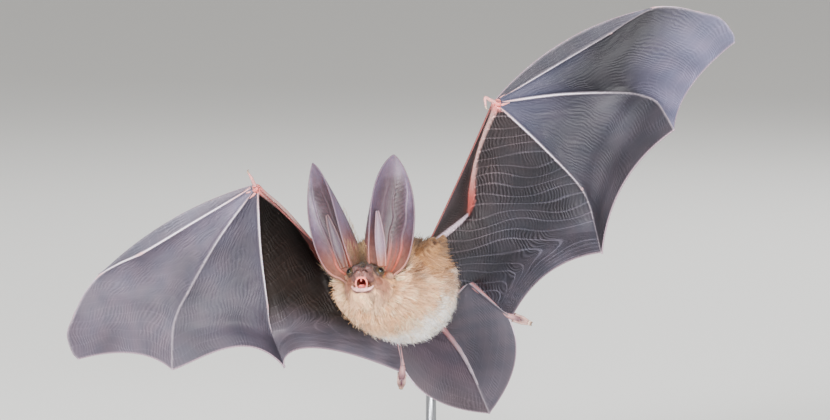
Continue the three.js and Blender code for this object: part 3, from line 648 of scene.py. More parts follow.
def add_wing(name, pose, leg):
    """The bones and the membranes of one wing."""
    side = pose["side"]
    bones = wing_bones(pose)
    shoulder, elbow, wrist = bones["shoulder"], bones["elbow"], bones["wrist"]
    paths, joints, forearm = bones["paths"], bones["joints"], bones["forearm"]
    seed = 20 if side > 0 else 40

    radius = {}
    for number in (2, 3, 4, 5):
        knuckles = joints[number][1:-1][:3] if number > 2 else []
        shares = [paths[number].nearest(knuckle) for knuckle in knuckles]
        radius[number] = finger_radius(number, shares)
        add_bone(paths[number], radius[number], finger_tint(shares) if shares else RIM, steps=110)
    add_bone(forearm, forearm_radius, forearm_tint, steps=70, sides=16)
    add_bone(Path([shoulder, elbow]), upper_arm_radius, UPPER_ARM_SKIN, steps=20, sides=16)
    # the wrist, where fingers, thumb and forearm come together
    for number in (3, 4, 5):
        add_bone(Path([wrist - aim(pose["forearm"]), joints[number][0] + aim(pose[number][0]) * 3]),
                 lambda t: 0.85 - 0.65 * t, lambda t: painted(WRIST_RED, (BONE_END, t)), steps=12)
    add_bone(Path([wrist - aim(pose["forearm"]) * 2, wrist + aim(pose["forearm"])]),
             lambda t: 0.8 + 0.35 * np.sin(math.pi * t), WRIST_RED, steps=12)
    thumb = bones["thumb"]
    thumb_path = smooth_path([wrist, mix(wrist, thumb[1], 0.6), thumb[1], thumb[2]])
    add_bone(thumb_path, lambda t: 0.55 - 0.3 * t**2 + 0.1 * hump(t - 0.66, 0.06), BONE_END, steps=24)

    def finger_web(kind, a, b, coarse, extra):
        def ends(t):
            return mix(paths[a].at(0), paths[b].at(0), share_of(t))
        free = free_edge(paths[a].at(1), paths[b].at(1), wrist, *pose["sag"][kind])
        billow = BILLOW * np.linalg.norm(paths[a].at(1) - paths[b].at(1))
        grid, _, v = stretched_web((ends, free, paths[a].at, paths[b].at), coarse, 12, billow, 96, 48)
        add_web(name, kind, grid, (None, None, radius[a](v), radius[b](v)), seed + extra)

    finger_web("tip", 3, 4, (6, 9), 1)
    finger_web("middle", 4, 5, (6, 8), 2)

    meeting = paths[3].nearest(joints[3][2])
    third = lambda v: paths[3].at(np.asarray(v) * meeting)
    top = lambda u: mix(paths[2].at(0), third(0), share_of(u))
    bottom = lambda u: mix(paths[2].at(1), third(1), share_of(u))
    grid, _, v = stretched_web((top, bottom, paths[2].at, third), (2, 8), 0, 0, 60, 12)
    add_web(name, "leading", grid, (None, None, radius[2](v), radius[3](v * meeting)), seed + 3)

    # the web from the arm and the fifth finger to the flank and the leg
    bend = 0.6  # the elbow's share of the way from the wrist to the shoulder

    def on_arm(u):
        u = np.asarray(u, float)
        low = forearm.at(1 - np.minimum(u / bend, 1))
        high = mix(elbow, shoulder, share_of(np.maximum(u - bend, 0) / (1 - bend)))
        return np.where(share_of(u) < bend, low, high)

    def arm_tint(u):
        low, high = forearm_tint(1 - np.minimum(u / bend, 1)), UPPER_ARM_SKIN
        return np.where(share_of(u) < bend, low, high)

    def arm_radius(u):
        upper = upper_arm_radius(1 - (u - bend) / (1 - bend))
        return np.where(u < bend, forearm_radius(1 - u / bend), upper)

    fifth = smooth_path([wrist, joints[5][0], *paths[5].points[8::12]])
    outside = leading(aim(pose["tibia"]), side)
    heel = leg["ankle"] + aim(pose["foot"]) * 2 + outside * 0.7
    flank = in_trunk((-6, 11, 1), side)
    thigh_middle = mix(leg["hip"], leg["knee"], 0.5)
    shin_end = leg["ankle"] - aim(pose["tibia"]) * 2
    inner = smooth_path([shoulder, flank, thigh_middle, leg["knee"] + outside * 0.2, shin_end, heel])
    trailing = free_edge(fifth.at(1), inner.at(1), (elbow + wrist) / 2, *pose["sag"]["arm"])
    billow = BILLOW * 24
    grid, u, v = stretched_web((on_arm, trailing, fifth.at, inner.at), (10, 8), 60, billow, 76, 76, True)
    # its fibres show most on the raised wing
    crossing, ruled = ((0.12, 0, -1), 1.0) if side > 0 else ((0.5, 0, -0.8), 0.25)
    radii = (arm_radius(u), None, radius[5](v), None)
    add_web(name, "arm", grid, radii, seed + 4, crossing, ruled, arm_tint(u))

    # the web in front of the arm, from the wrist to the side of the neck
    anchor = mix(bones["anchor"], shoulder, 0.35) + np.array([0, 2.5, 0])  # its end lies under the fur
    front_start = mix(thumb[0], thumb[1], 0.35)
    front = free_edge(front_start, anchor, elbow, 0.02)
    start = lambda v: mix(wrist, front_start, share_of(v))
    end = lambda v: mix(shoulder, anchor, share_of(v))
    grid, u, v = stretched_web((on_arm, front, start, end), (8, 2), 0, 0, 22, 76, True)
    add_web(name, "front", grid, (arm_radius(u), None, None, None), seed + 5, top_tint=arm_tint(u))
    return bones


tail_joints = chain(TAIL_ROOT, [TAIL / 2, TAIL / 2], TAIL_POSE)
tail_path = smooth_path(tail_joints)


TOE_SPACING = 0.48


def toes_of(pose, leg):
    """The path of the foot's palm, and those of its five toes with their claws."""
    towards = aim(pose["foot"])
    across = unit(np.cross(towards, (0, 1, 0)))
    sole = unit(np.cross(towards, across)) * pose["side"]
    root = leg["ankle"] + towards * (FOOT["length"] - FOOT["toe"])
    toes = []
    for toe in (-2, -1, 0, 1, 2):
        direction = unit(towards + across * toe * math.tan(math.radians(FOOT["fan"])))
        start = root + across * toe * TOE_SPACING + sole * 0.1 * toe**2
        knuckle = start + direction * FOOT["toe"] * 0.45 + across * toe * 0.06 - sole * 0.4
        tip = start + direction * FOOT["toe"] * 0.8 - across * toe * 0.1 + sole * 0.9
        claw = [tip, tip + direction * 0.8 + sole * 0.5, tip + direction * 0.7 + sole * FOOT["claw"]]
        toes.append((smooth_path([start - direction, start, knuckle, tip]), smooth_path(claw)))
    palm = Path([leg["ankle"], leg["ankle"] + towards * (FOOT["length"] - FOOT["toe"] + 1)])
    return palm, toes


claws = Sheet()
CLAW_ROOT, CLAW_TIP = colours("#b99a86", "#5c4a40")


def add_claw(path, thick):
    points, faces, t = tube(path, lambda t: thick * (1 - 0.9 * t) ** 0.8 + 0.03, 12, 10)
    claws.add(points, faces, painted(CLAW_ROOT, (CLAW_TIP, t**0.7)))


def add_leg(name, pose, leg):
    """A leg with its foot, and the tail web beside it."""
    side = pose["side"]
    hip, knee, ankle = leg["hip"], leg["knee"], leg["ankle"]
    add_bone(Path([hip, knee]), lambda t: 1.5 - 0.65 * t + 0.2 * hump(t - 1, 0.1), LEG_SKIN, 24, 14)
    shin = lambda t: 0.75 - 0.25 * t + 0.22 * hump(t - 0.2, 0.2) + 0.15 * hump(t - 1, 0.06)
    shin_tint = lambda t: mix(LEG_SKIN, FOOT_SKIN, share_of(t)) + share_of(0.5 * hump(t - 0.5, 0.4)) * (
        SHIN_PINK - LEG_SKIN)
    add_bone(Path([knee, ankle]), shin, shin_tint, 36, 14)
    palm, toes = toes_of(pose, leg)
    add_bone(palm, lambda t: 0.55 + 0.55 * hump(t - 0.65, 0.6),
             lambda t: painted(FOOT_SKIN, (SOLE, 0.8 * smooth(0.3, 0.9, t))), 16, 14)
    for toe, claw in zip(range(-2, 3), toes):
        tone = mix(SOLE, TOE_SKIN, abs(toe) / 2)
        toe_tint = lambda t: painted(tone, (TOE_SKIN, smooth(0.6, 0.9, t)))
        add_bone(claw[0], lambda t: 0.46 - 0.16 * t + 0.06 * hump(t - 0.62, 0.1), toe_tint, 20, 10)
        add_claw(claw[1], 0.22)

    # the tail web, held open at its edge by the heel's spur
    outwards = aim(pose["calcar"])
    heel = ankle + outwards * 0.4
    tip = tail_path.at(1)

    def edge(u):
        reach = 4 * u * (1 - u) * (1 - 0.3 * u) * pose["web_bulge"]
        return mix(heel, tip, share_of(u)) + outwards * share_of(reach)
    bend = 0.35  # the knee's share of the way from the hip to the heel

    def on_leg(v):
        v = np.asarray(v, float)
        return np.where(share_of(v) < bend, mix(hip, knee, share_of(v / bend)),
                        mix(knee, heel, share_of((v - bend) / (1 - bend))))
    start = lambda u: mix(hip, tail_path.at(0), share_of(u))
    grid, _, v = stretched_web((start, edge, on_leg, tail_path.at), (5, 7), 20, 1, 76, 42)
    leg_radius = mix(1.5, 0.7, v)
    add_web(name, "tail", grid, (None, None, leg_radius, tail_radius(v)), 60 + side * 5)
    # the spur itself, a thin rod along the first part of the web's edge
    spur = Path(edge(np.linspace(0, 0.42, 20)))
    add_bone(spur, lambda t: 0.34 - 0.2 * t, mix(RIM, WING_BONE, 0.5), 30, 8)


add_bone(tail_path, lambda t: tail_radius(t) + 0.1 * hump((t * 9) % 1 - 0.5, 0.2) * (1 - t),
         lambda t: painted(LEG_SKIN, (TAIL_SKIN, smooth(0.1, 0.6, t))), 120, 12)
legs = {name: leg_bones(pose) for name, pose in POSE.items()}
wings = {}
for name, pose in POSE.items():
    wings[name] = add_wing(name, pose, legs[name])
    add_leg(name, pose, legs[name])
    thumb = wings[name]["thumb"]
    direction = unit(thumb[2] - thumb[1])
    hook = np.cross(direction, (0, 1, 0)) * pose["side"]
    claw = [thumb[2], thumb[2] + direction * 0.7 + hook * 0.2, thumb[2] + direction * 1.0 + hook]
    add_claw(smooth_path(claw), 0.3)

# ------------ ears

EAR_INSIDE, EAR_GROOVE_SHADE, EAR_LOW, EAR_PALE = colours("#4d4247", "#2d2224", "#83584a", "#6d6676")
EAR_RIM, EAR_RIM_LOW, EAR_VEIN = colours("#786c72", "#8a5a4d", "#b4482e")
TRAGUS_LOW, TRAGUS_HIGH, TRAGUS_RIM = colours("#84503f", "#76626e", "#a1766b")
EAR_SHADE = (0.68, 0.57, 0.64)  # the tone above its root, of red, green and blue
EAR_ROOT = -0.07  # the ear goes on under the coat, as a share of its length
RIB_SPACING = 1.45  # between the cross folds of its outer wall


def ear_half_width(s, tip):
    """A low tip rounds the ear off, a high one draws it to a point."""
    widest = 0.42
    below = np.clip((widest - s) / widest, 0, 1)
    above = np.maximum(0, s - widest) / (1 - widest)
    narrowing = 1 - 0.16 * below**2 - 0.3 * below**6
    return EAR["half_width"] * narrowing * np.maximum(0.006, 1 - above**2.4) ** tip


def ear_turn(pose):
    """How an ear is turned: splayed to its side, leaned forward, its opening outwards."""
    side, ear = pose["side"], pose["ear"]
    lean = rotation("Y", ear["splay"] * side) @ rotation("X", EAR["forward"])
    return lean @ rotation("Z", ear["outward"] * side)


def ear_base(pose):
    return (pose["ear"]["side"] * pose["side"], *EAR["base"])


def from_ear(points, pose):
    """Points of an ear's own frame in the flight frame."""
    return from_head(points @ ear_turn(pose).T + ear_base(pose))


def outside_cups(points):
    """How far places of the head are outside the tubes that the ears make at their bases."""
    gaps = []
    for pose in POSE.values():
        local = (points - ear_base(pose)) @ ear_turn(pose)
        cup = math.radians(EAR["cup"][0])
        radius = ear_half_width(np.clip(local[..., 2] / EAR["length"], 0.04, 1), pose["ear"]["tip"])
        from_axis = np.hypot(local[..., 0], local[..., 1] + radius * math.sin(cup) / cup)
        gaps.append(np.where(local[..., 2] < -1.5, 9.0, from_axis - radius))
    return np.minimum(*gaps)


# of each ear's back: its places, the ways out of them, their heights and shares across, for its hair
ear_backs = []
EAR_ROWS, EAR_COLUMNS = 160, 108


def add_ear(pose):
    """A leaf rolled about its long axis, more than half a tube at its base."""
    side = pose["side"]
    v = EAR_ROOT + (1 - EAR_ROOT) * (1 - (1 - np.linspace(0, 1, EAR_ROWS)) ** 1.4)
    u = 0.5 + 0.5 * np.tanh(1.0 * np.linspace(-1, 1, EAR_COLUMNS)) / np.tanh(1.0)
    v, u = lattice(v, u)
    width = ear_half_width(v, pose["ear"]["tip"]) * (1 - 5 * np.maximum(-v, 0))
    cup = np.radians(mix(*EAR["cup"], v**2))
    angle = (2 * u - 1) * cup
    radius = width / np.sin(np.minimum(cup, math.pi / 2))
    height = EAR["length"] * v
    grid = np.stack([radius * np.sin(angle), radius * (np.cos(angle) - np.sin(cup) / cup), height], -1)
    away = np.stack([np.sin(angle), np.cos(angle), 0 * angle], -1)
    outer = (2 * u - 1) * side  # 1 at the outer rim, 0 at the keel, -1 at the inner rim
    from_rim = (1 - np.abs(outer)) * radius * cup
    # short slanting cross folds up the outer wall between two long folds, and a rolled rim
    wavy = outer + 0.035 * wander(grid, 12, 9)
    slant = height - 0.8 * radius * outer * cup + 0.5 * wander(grid, 7, 8)
    ribs = hump((slant / RIB_SPACING % 1 - 0.5) * RIB_SPACING, 0.36) * (0.8 + 0.3 * wander(grid, 3, 14))
    outermost = mix(0.56, 0.74, smooth(0.3, 0.8, v))
    band = smooth(0.22, 0.32, wavy) * smooth(outermost + 0.06, outermost - 0.06, wavy)
    band = band * smooth(0.2, 0.4, v) * smooth(0.86, 0.7, v) * pose["ear"]["ribs"]
    folds = (hump(wavy - 0.26, 0.022) + 0.9 * hump(wavy - (outermost + 0.03), 0.022)
             + 0.5 * hump(wavy + 0.04, 0.04) + 0.6 * hump(wavy + 0.66, 0.03)) * smooth(0.9, 0.6, v)
    half = 0.15 + 0.08 * hump(from_rim, 0.3) + 0.15 * smooth(0.3, 0, v)
    grid = grid + grid_normal(grid) * share_of(0.14 * ribs * band + 0.25 * folds * smooth(0.1, 0.6, from_rim))
    points, faces, loop = leaf(grid, half)
    blotch = wander(grid, 6, 5)
    tint = painted(
        EAR_LOW,
        (EAR_INSIDE, smooth(0.05, 0.46, v + 0.05 * blotch)),
        # painted shade: dark in the ribbed band between the ribs and along the long fold beside it
        (EAR_GROOVE_SHADE, 0.75 * band + 0.5 * hump(wavy - 0.2, 0.1) * smooth(0.9, 0.6, v)),
        (EAR_PALE, 0.7 * hump(wavy - 0.86, 0.16) * smooth(0.2, 0.5, v)),
        (EAR_PALE, 0.55 * smooth(0.74, 0.98, v + 0.04 * blotch)),
    )
    # painted highlight: the ribs and the folds are painted lighter along their crests; the blotches vary the
    # tone at random
    tint = tint * (1 + share_of(0.8 * ribs * band + 0.6 * folds * smooth(0.1, 0.4, v) + 0.2 * blotch
                                + 0.12 * wander(grid, 2.2, 6)))
    veins = hump(wavy - 0.3, 0.03) + hump(wavy - 0.62, 0.035) + 0.6 * hump(wavy - 0.46, 0.02)
    rim = painted(EAR_RIM_LOW, (EAR_RIM, smooth(0.05, 0.4, v)))
    tint = painted(
        tint,
        (EAR_VEIN, np.clip(0.75 * veins * smooth(0.34, 0.14, v), 0, 1)),
        (rim, 0.85 * hump(from_rim, 0.28)),
        # painted light: the inner wall, on the hollow side of the cup, is painted paler
        (EAR_PALE, 0.8 * hump(wavy + 0.72, 0.35) * smooth(0.25, 0.5, v)),
    )
    tint = tint * mix(np.ones(3), EAR_SHADE, share_of(smooth(-0.1, 0.3, v)))
    skin.add(from_ear(points, pose), faces, spread_over(tint, loop), BARE)
    tip, root = from_ear(grid + away, pose), from_ear(grid, pose)
    ear_backs.append((root + (tip - root) * share_of(half), tip - root, v, outer))


def add_tragus(pose):
    """The small pointed leaf that stands in front of the ear's opening."""
    side = pose["side"]
    v, u = lattice(np.linspace(0, 1, 60), np.linspace(-1, 1, 22))
    width = TRAGUS["half_width"] * (1 - 0.65 * v**3) * (0.85 + 0.3 * np.sin(math.pi * v))
    width = width * np.sqrt(np.maximum(1e-3, 1 - smooth(0.93, 1.03, v) ** 2))
    grid = np.stack([width * u, -0.4 * u**2, TRAGUS["length"] * v], -1)
    from_rim = (1 - np.abs(u)) * width
    half = 0.17 + 0.06 * hump(from_rim, 0.3) + 0.25 * hump(v, 0.2)
    points, faces, loop = leaf(grid, half)
    turn = rotation("Y", pose["ear"]["tragus"] * side) @ rotation("X", TRAGUS["forward"])
    base = (np.array(TRAGUS["base"]) + (pose["ear"]["side"], 0, 0)) * (side, 1, 1)
    # painted shade: each tragus is darkened by its pose's tone, the right one, deep in its cup, the most
    tint = painted(TRAGUS_LOW, (TRAGUS_HIGH, smooth(0, 0.4, v))) * pose["ear"]["tragus_shading"]
    tint = painted(tint, (TRAGUS_RIM, 0.15 * hump(from_rim, 0.15)))
    skin.add(from_head(points @ turn.T + base), faces, spread_over(tint, loop), BARE)


for pose in POSE.values():
    add_ear(pose)
    add_tragus(pose)

# ------------ trunk under the coat

spine = smooth_path(SPINE_POINTS)
COAT_DEPTH = 4.6
CREAM, WHITE, GOLD, BROWN, GREY = colours("#f8c79d", "#fff6f0", "#b88046", "#6f4d2c", "#8d7a6c")


def coat_radius(t):
    shares, radii = zip(*COAT_RADIUS)
    return np.interp(t, shares, radii)


def skin_radius(t):
    return np.maximum(coat_radius(t) - COAT_DEPTH, 0.62 * coat_radius(t) - 0.5)


def on_trunk(t, angle):
    """A point of the trunk's skin, the way out of it and the spine's direction; angle 0 is the belly,
    90 degrees the bat's left."""
    ahead = spine.along(t, 0.03)
    belly = unit(-BACK - ahead * share_of(ahead @ -BACK))
    out = belly * share_of(np.cos(angle)) + np.cross(belly, ahead) * share_of(np.sin(angle))
    step = 0.02
    growth = skin_radius(np.minimum(t + step, 1)) - skin_radius(np.maximum(t - step, 0))
    lean = growth / (2 * step * spine.length)
    return spine.at(t) + out * share_of(skin_radius(t)), unit(out - ahead * share_of(lean)), ahead


def golden(points):
    """How golden the coat is at places of the body: most at the left side of the neck and the shoulder, where
    the golden brown is painted shade under the raised arm.
    """
    x, z = points[..., 0], points[..., 2]
    patch = wander(points, 12, 3)
    return smooth(-25, -15, z + 3.5 * patch + 0.1 * (x + 5)) * smooth(-15, -4, x + 3 * patch)


def coat_tint(points):
    """The coat's colour at places of the body: white below, cream on the chest, gold at the left shoulder as
    painted shade under the raised arm, grey-brown on the back."""
    local = points - TRUNK_CENTRE
    back, fore = local @ BACK, local @ FORE
    patch, fine = wander(points, 14, 3), wander(points, 5, 4)
    low = smooth(3, -9, fore + 3 * patch + 0.5 * back + 1.5 * fine)
    # dark partings that run away from the head: painted shade between the locks, with the darker roots that
    # show there
    across, up = points[..., 0] - HEAD_CENTRE[0], points[..., 2] - HEAD_CENTRE[2]
    spokes = np.stack([11 * np.arctan2(up, across), np.hypot(up, across) / 7, 0 * up], -1)
    parting = smooth(0, 0.7, wander(spokes, 1, 12)) * (1 - low)
    crest = smooth(3, 7, up) * smooth(11, 6, np.abs(across))  # behind and between the ears
    upper = back + 2 * patch + 0.25 * (fore - 12) * smooth(-20, 0, fore)
    return painted(
        CREAM,
        (WHITE, low),
        # painted shade: golden brown at the left side of the neck and the shoulder, under the raised arm;
        # elsewhere gold flecks vary the tone at random
        (GOLD, np.clip(0.85 * golden(points) + 0.25 * fine * (1 - low), 0, 1)),
        (GREY, 0.5 * smooth(0.45, 0.95, wander(points, 6.5, 9)) * (1 - low)),
        (BROWN, 0.7 * parting * mix(0.6, 1, golden(points))),
        (BROWN, 0.85 * crest),
        (BROWN, smooth(0.5, 7, upper)),
    )


TRUNK_RINGS, TRUNK_SIDES = 90, 96
UNDERCOAT_TONE = 0.6  # of the skin below the tufts, beside the coat's colour
t, angle = lattice(np.linspace(0, 1, TRUNK_RINGS), full_turn(TRUNK_SIDES))
points = np.vstack([on_trunk(t, angle)[0].reshape(-1, 3), spine.at(0.0), spine.at(1.0)])
trunk_faces = [grid_faces(TRUNK_RINGS, TRUNK_SIDES, closed=True), end_caps(TRUNK_RINGS, TRUNK_SIDES)]
skin.add(points, trunk_faces, coat_tint(points) * UNDERCOAT_TONE, BARE)

# ------------ head, modelled in its own frame (its left is +X, its front is -Y) as a signed distance


def egg(p, centre, radii, turn=None):
    """Signed distance to an egg with its middle at the centre."""
    q = p - np.array(centre)
    if turn is not None:
        q = q @ turn
    q = q / np.array(radii)
    k = np.linalg.norm(q, axis=-1)
    return k * (k - 1) / np.maximum(np.linalg.norm(q / np.array(radii), axis=-1), 1e-6)


def rod(p, start, end, r0, r1):
    """Signed distance to a bar with round ends."""
    a, b = np.array(start, float), np.array(end, float)
    t = np.clip((p - a) @ (b - a) / (b - a).dot(b - a), 0, 1)
    return np.linalg.norm(p - a - share_of(t) * (b - a), axis=-1) - mix(r0, r1, t)


def join(a, b, soft):
    h = np.clip(0.5 + 0.5 * (b - a) / soft, 0, 1)
    return mix(b, a, h) - soft * h * (1 - h)


def carve(a, b, soft):
    return -join(-a, b, soft)


def ridge_along(q, line, start, end):
    """Signed distance to a ridge along a line of points, of a radius that runs from start to end."""
    radii = np.linspace(start, end, len(line))
    parts = [rod(q, a, b, r0, r1) for a, b, r0, r1 in zip(line, line[1:], radii, radii[1:])]
    return np.minimum.reduce(parts)


HEAD_STEP = 0.15  # side of the cells on which the head's shape is worked out
MOUTH = ((0, -9.2, -4.15), (1.3, 5.0, 1.35), rotation("X", 15))
PALATE = (0, -10.2, -3.3)
UPPER_LIP = [(0, -10.8, -2.75), (0.9, -10.7, -2.9), (1.5, -10.3, -3.5), (1.7, -9.9, -4.3),
             (1.35, -9.4, -5.15)]
LOWER_LIP = [(0, -9.6, -6.05), (1.4, -9.4, -5.9), (2.4, -8.7, -5.35), (3.05, -7.9, -4.5)]
LIP_FOLD = [(1.75, -10.7, -3.0), (2.2, -10.2, -3.8), (2.1, -9.6, -4.9)]
NOSTRIL_SLIT = [(0.75, -11.95, -0.75), (1.3, -11.7, -0.5), (1.85, -11.1, -1.0)]
NOSTRIL_SHADE = [(0.75, -11.9, -0.75), (1.3, -11.6, -0.5), (1.85, -11.0, -1.0)]
EAR_FLOOR = ((4.9, 1.7, 1.2), (2.3, 2.2, 1.5))  # the skin that closes the ear's cup below
eye_centre = np.array([EYE["side"], -EYE["fore"], EYE["up"]])
eye_out = unit((0.52, -0.84, 0.12))

low, high = np.array([-8.6, -12.6, -8.6]), np.array([8.6, 8, 6.4])
axes = [np.arange(a, b, HEAD_STEP) for a, b in zip(low, high)]
p = np.stack(np.meshgrid(*axes, indexing="ij"), -1).astype(np.float32)
q = np.concatenate([np.abs(p[..., :1]), p[..., 1:]], -1)  # the head is the same on both sides
d = egg(q, (0, 0.6, 0.3), (5.0, 5.6, 4.6))
d = join(d, rod(q, (0, -3, -0.2), (0, -9.0, -1.3), 3.6, 1.9), 1.6)
d = join(d, egg(q, (3.2, -3.8, 0.5), (1.7, 2.0, 1.8)), 1.0)  # brow and cheekbone round the eye
d = join(d, egg(q, (3.3, -3.2, -2.4), (2.0, 3.2, 2.0)), 1.2)  # cheek
d = join(d, egg(q, *EAR_FLOOR), 1.0)
d = join(d, egg(q, (1.65, -8.5, 0.4), (1.25, 1.9, 1.25)), 0.35)  # the two gland lumps of the muzzle
d = join(d, rod(q, (1.2, -10.0, -1.0), (0.75, -11.0, -1.2), 0.95, 0.8), 0.4)  # nostril pads
d = join(d, rod(q, (2.2, -7.6, -2.1), (1.2, -10.1, -2.1), 1.1, 0.8), 0.8)  # whisker pads
jaw = ridge_along(q, [(2.8, -1.5, -4.0), (2.3, -6.8, -5.2), (0, -8.8, -6.0)], 1.2, 0.7)
jaw = join(jaw, egg(q, (0, -3.8, -4.9), (2.6, 4.0, 1.5)), 0.8)
d = join(d, jaw, 0.5)
d = carve(d, egg(q, *MOUTH), 0.35)
d = join(d, ridge_along(q, UPPER_LIP, 0.27, 0.3), 0.15)
d = join(d, ridge_along(q, LOWER_LIP, 0.6, 0.28), 0.15)
d = join(d, egg(q, PALATE, (0.26, 0.5, 0.5)), 0.2)  # front of the palate
d = carve(d, ridge_along(q, LIP_FOLD, 0.2, 0.2), 0.2)
d = carve(d, ridge_along(q, NOSTRIL_SLIT, 0.26, 0.3), 0.12)
d = carve(d, rod(q, (0, -12.2, -1.4), (0, -10.2, 0.5), 0.2, 0.3), 0.45)  # groove between the nostrils
d = join(d, egg(q, eye_centre - 0.5 * eye_out, (1.55, 1.55, 1.5)), 0.5)  # lids round the eye
d = carve(d, egg(q, eye_centre + 0.75 * eye_out, (1.22, 1.22, 1.14)), 0.12)
d = np.maximum(d, -egg(q, eye_centre, (1.0, 1.0, 1.0)))
d = d + 0.03 * wander(p, 0.9, 30) * smooth(7, 9, -p[..., 1])  # small folds of the muzzle

level = vdb.FloatGrid()
level.copyFromArray(d.astype(np.float32))
points, quads = level.convertToQuads(isovalue=0.0)
points = points * HEAD_STEP + low
a, b, c = (points[quads[:, k]] for k in range(3))
if np.einsum("ij,ij->i", a, np.cross(b, c)).sum() < 0:
    quads = quads[:, ::-1]

fore, up = -points[:, 1], points[:, 2]
q = np.stack([np.abs(points[:, 0]), points[:, 1], up], 1)
NAPE, TEMPLE, FACE, BROW, CHEEK = colours("#39250f", "#6e4c3a", "#472e26", "#150b05", "#84503d")
MUZZLE, LUMP, NOSTRIL, PINK = colours("#66443f", "#3b2d2e", "#200f0c", "#96705a")
LID, LID_EDGE, EYE_PATCH = colours("#2c1c14", "#493b2c", "#5c2612")
LIP, LOWER, FOLD_RED, MOUTH_SHADOW, PALATE_PINK = colours("#c66e61", "#d8a49d", "#8f3f3a", "#50100c", "#b9655f")
nape = smooth(0.5, 2.5, up) * smooth(2.5, -1, fore)
crown = smooth(0.6, 2.2, up) * smooth(-3, 0.5, fore) * smooth(4.8, 3.4, q[:, 0])
cheek = hump(np.linalg.norm((q - (4.0, -5.2, -2.4)) / (2.2, 3.6, 2.3), axis=1), 1.0)
fur_of_head = painted(
    coat_tint(from_head(points)),
    (NAPE, 0.95 * nape),
    (BROW, 0.95 * crown),
    (TEMPLE, smooth(2.2, 3.8, fore) * hump(up - 0.5, 1.4)),
    (CHEEK, 0.9 * smooth(0.1, 0.5, cheek)),
)
ear_floor = PINK * (1 + 0.35 * share_of(wander(points, 0.9, 53)))
lump = egg(q, (1.65, -8.9, 0.75), (1.1, 1.5, 0.9))
behind_lump = ridge_along(q, [(0.5, -8.6, 1.9), (2.2, -8.0, 1.7), (3.0, -7.6, 0.6)], 0.3, 0.2)
behind_eye = np.linalg.norm((q - (5.1, -0.6, 1.4)) / (1.1, 4.0, 1.5), axis=1)
eye_distance = np.linalg.norm(q - eye_centre, axis=1)
in_front = smooth(6.4, 7.4, fore)
tint_of_head = painted(
    fur_of_head,
    (FACE, smooth(3.2, 4.4, fore) * smooth(-4.2, -3.0, up)),
    (ear_floor, smooth(0.6, 0.1, egg(q, *EAR_FLOOR))),
    (CHEEK, 0.9 * cheek),
    (MUZZLE, smooth(6.4, 7.8, fore) * smooth(-7.2, -6.4, up)),
    (BROW, 0.92 * smooth(0.5, -0.1, egg(q, (0, -6.4, 2.6), (2.1, 3.8, 2.4)))),
    (LUMP, smooth(0.45, -0.3, lump)),
    # painted shade: the crease behind the gland lumps is painted dark brown
    (BROW, 0.85 * smooth(0.5, 0, behind_lump)),
    (EYE_PATCH, 0.95 * hump(behind_eye, 1.0)),
    (LID, 0.9 * hump(np.maximum(eye_distance - 1.2, 0), 1.0)),
    (LID_EDGE, 0.85 * hump(eye_distance - 1.15, 0.16)),
    (NOSTRIL, 0.95 * smooth(0.25, 0.02, ridge_along(q, NOSTRIL_SHADE, 0.26, 0.3))),
    # the fold's red skin, darkened in the crease as painted shade
    (FOLD_RED, 0.8 * hump(ridge_along(q, LIP_FOLD, 0.1, 0.1), 0.3)),
    # painted shade: the inside of the mouth's opening is a darkened red
    (MOUTH_SHADOW, smooth(0.55, 0.4, egg(q, *MOUTH)) * smooth(10.4, 9.8, fore)),
    (LIP, smooth(0.28, 0.0, ridge_along(q, UPPER_LIP, 0.32, 0.36))),
    (LOWER, smooth(0.35, 0.05, ridge_along(q, LOWER_LIP, 0.58, 0.32)) * in_front),
    (PALATE_PINK, smooth(0.15, 0, egg(q, PALATE, (0.33, 0.6, 0.55)))),
)
# painted shade under the lower lip: the skin below it is darkened by up to a third
shade_under_lip = 0.35 * hump(q[:, 0], 1.8) * smooth(-4.2, -4.8, up) * in_front
tint_of_head = tint_of_head * (1 - share_of(shade_under_lip))
bare_face = share_of(smooth(4, 6, fore) * smooth(0.5, 1.5, eye_distance))
mottled = share_of(wander(points, 1.1, 51) + 0.7 * wander(points, 0.6, 52))
tint_of_head = tint_of_head * (1 + 0.16 * bare_face * mottled)
skin.add(from_head(points), [quads], tint_of_head, BARE)
head_points, head_quads = points, quads

# ------------ materials


def fill(node, inputs):
    """Sets a node's inputs, each to a value, a socket's link or the link of another node's first output."""
    for key, value in inputs.items():
        if isinstance(value, bpy.types.Node):
            value = value.outputs[0]
        if isinstance(value, bpy.types.NodeSocket):
            node.id_data.links.new(value, node.inputs[key])
        else:
            node.inputs[key].default_value = value


def add_node(tree, kind, settings=None, inputs=None):
    """Adds a shader node with its settings and the values or links of its inputs."""
    made = tree.nodes.new("ShaderNode" + kind)
    for key, value in (settings or {}).items():
        setattr(made, key, value)
    fill(made, inputs or {})
    return made


def new_material(name, values):
    """A material with the given values on its shader, with its tree and its shader."""
    made = bpy.data.materials.new(name)
    made.use_nodes = True
    shader = made.node_tree.nodes["Principled BSDF"]
    fill(shader, values)
    return made, made.node_tree, shader


WAVE_LENGTH = 0.314  # of a wave texture at a scale of 1
CRINKLE_SPACING = 0.95  # drawn a little coarser than the real crinkles


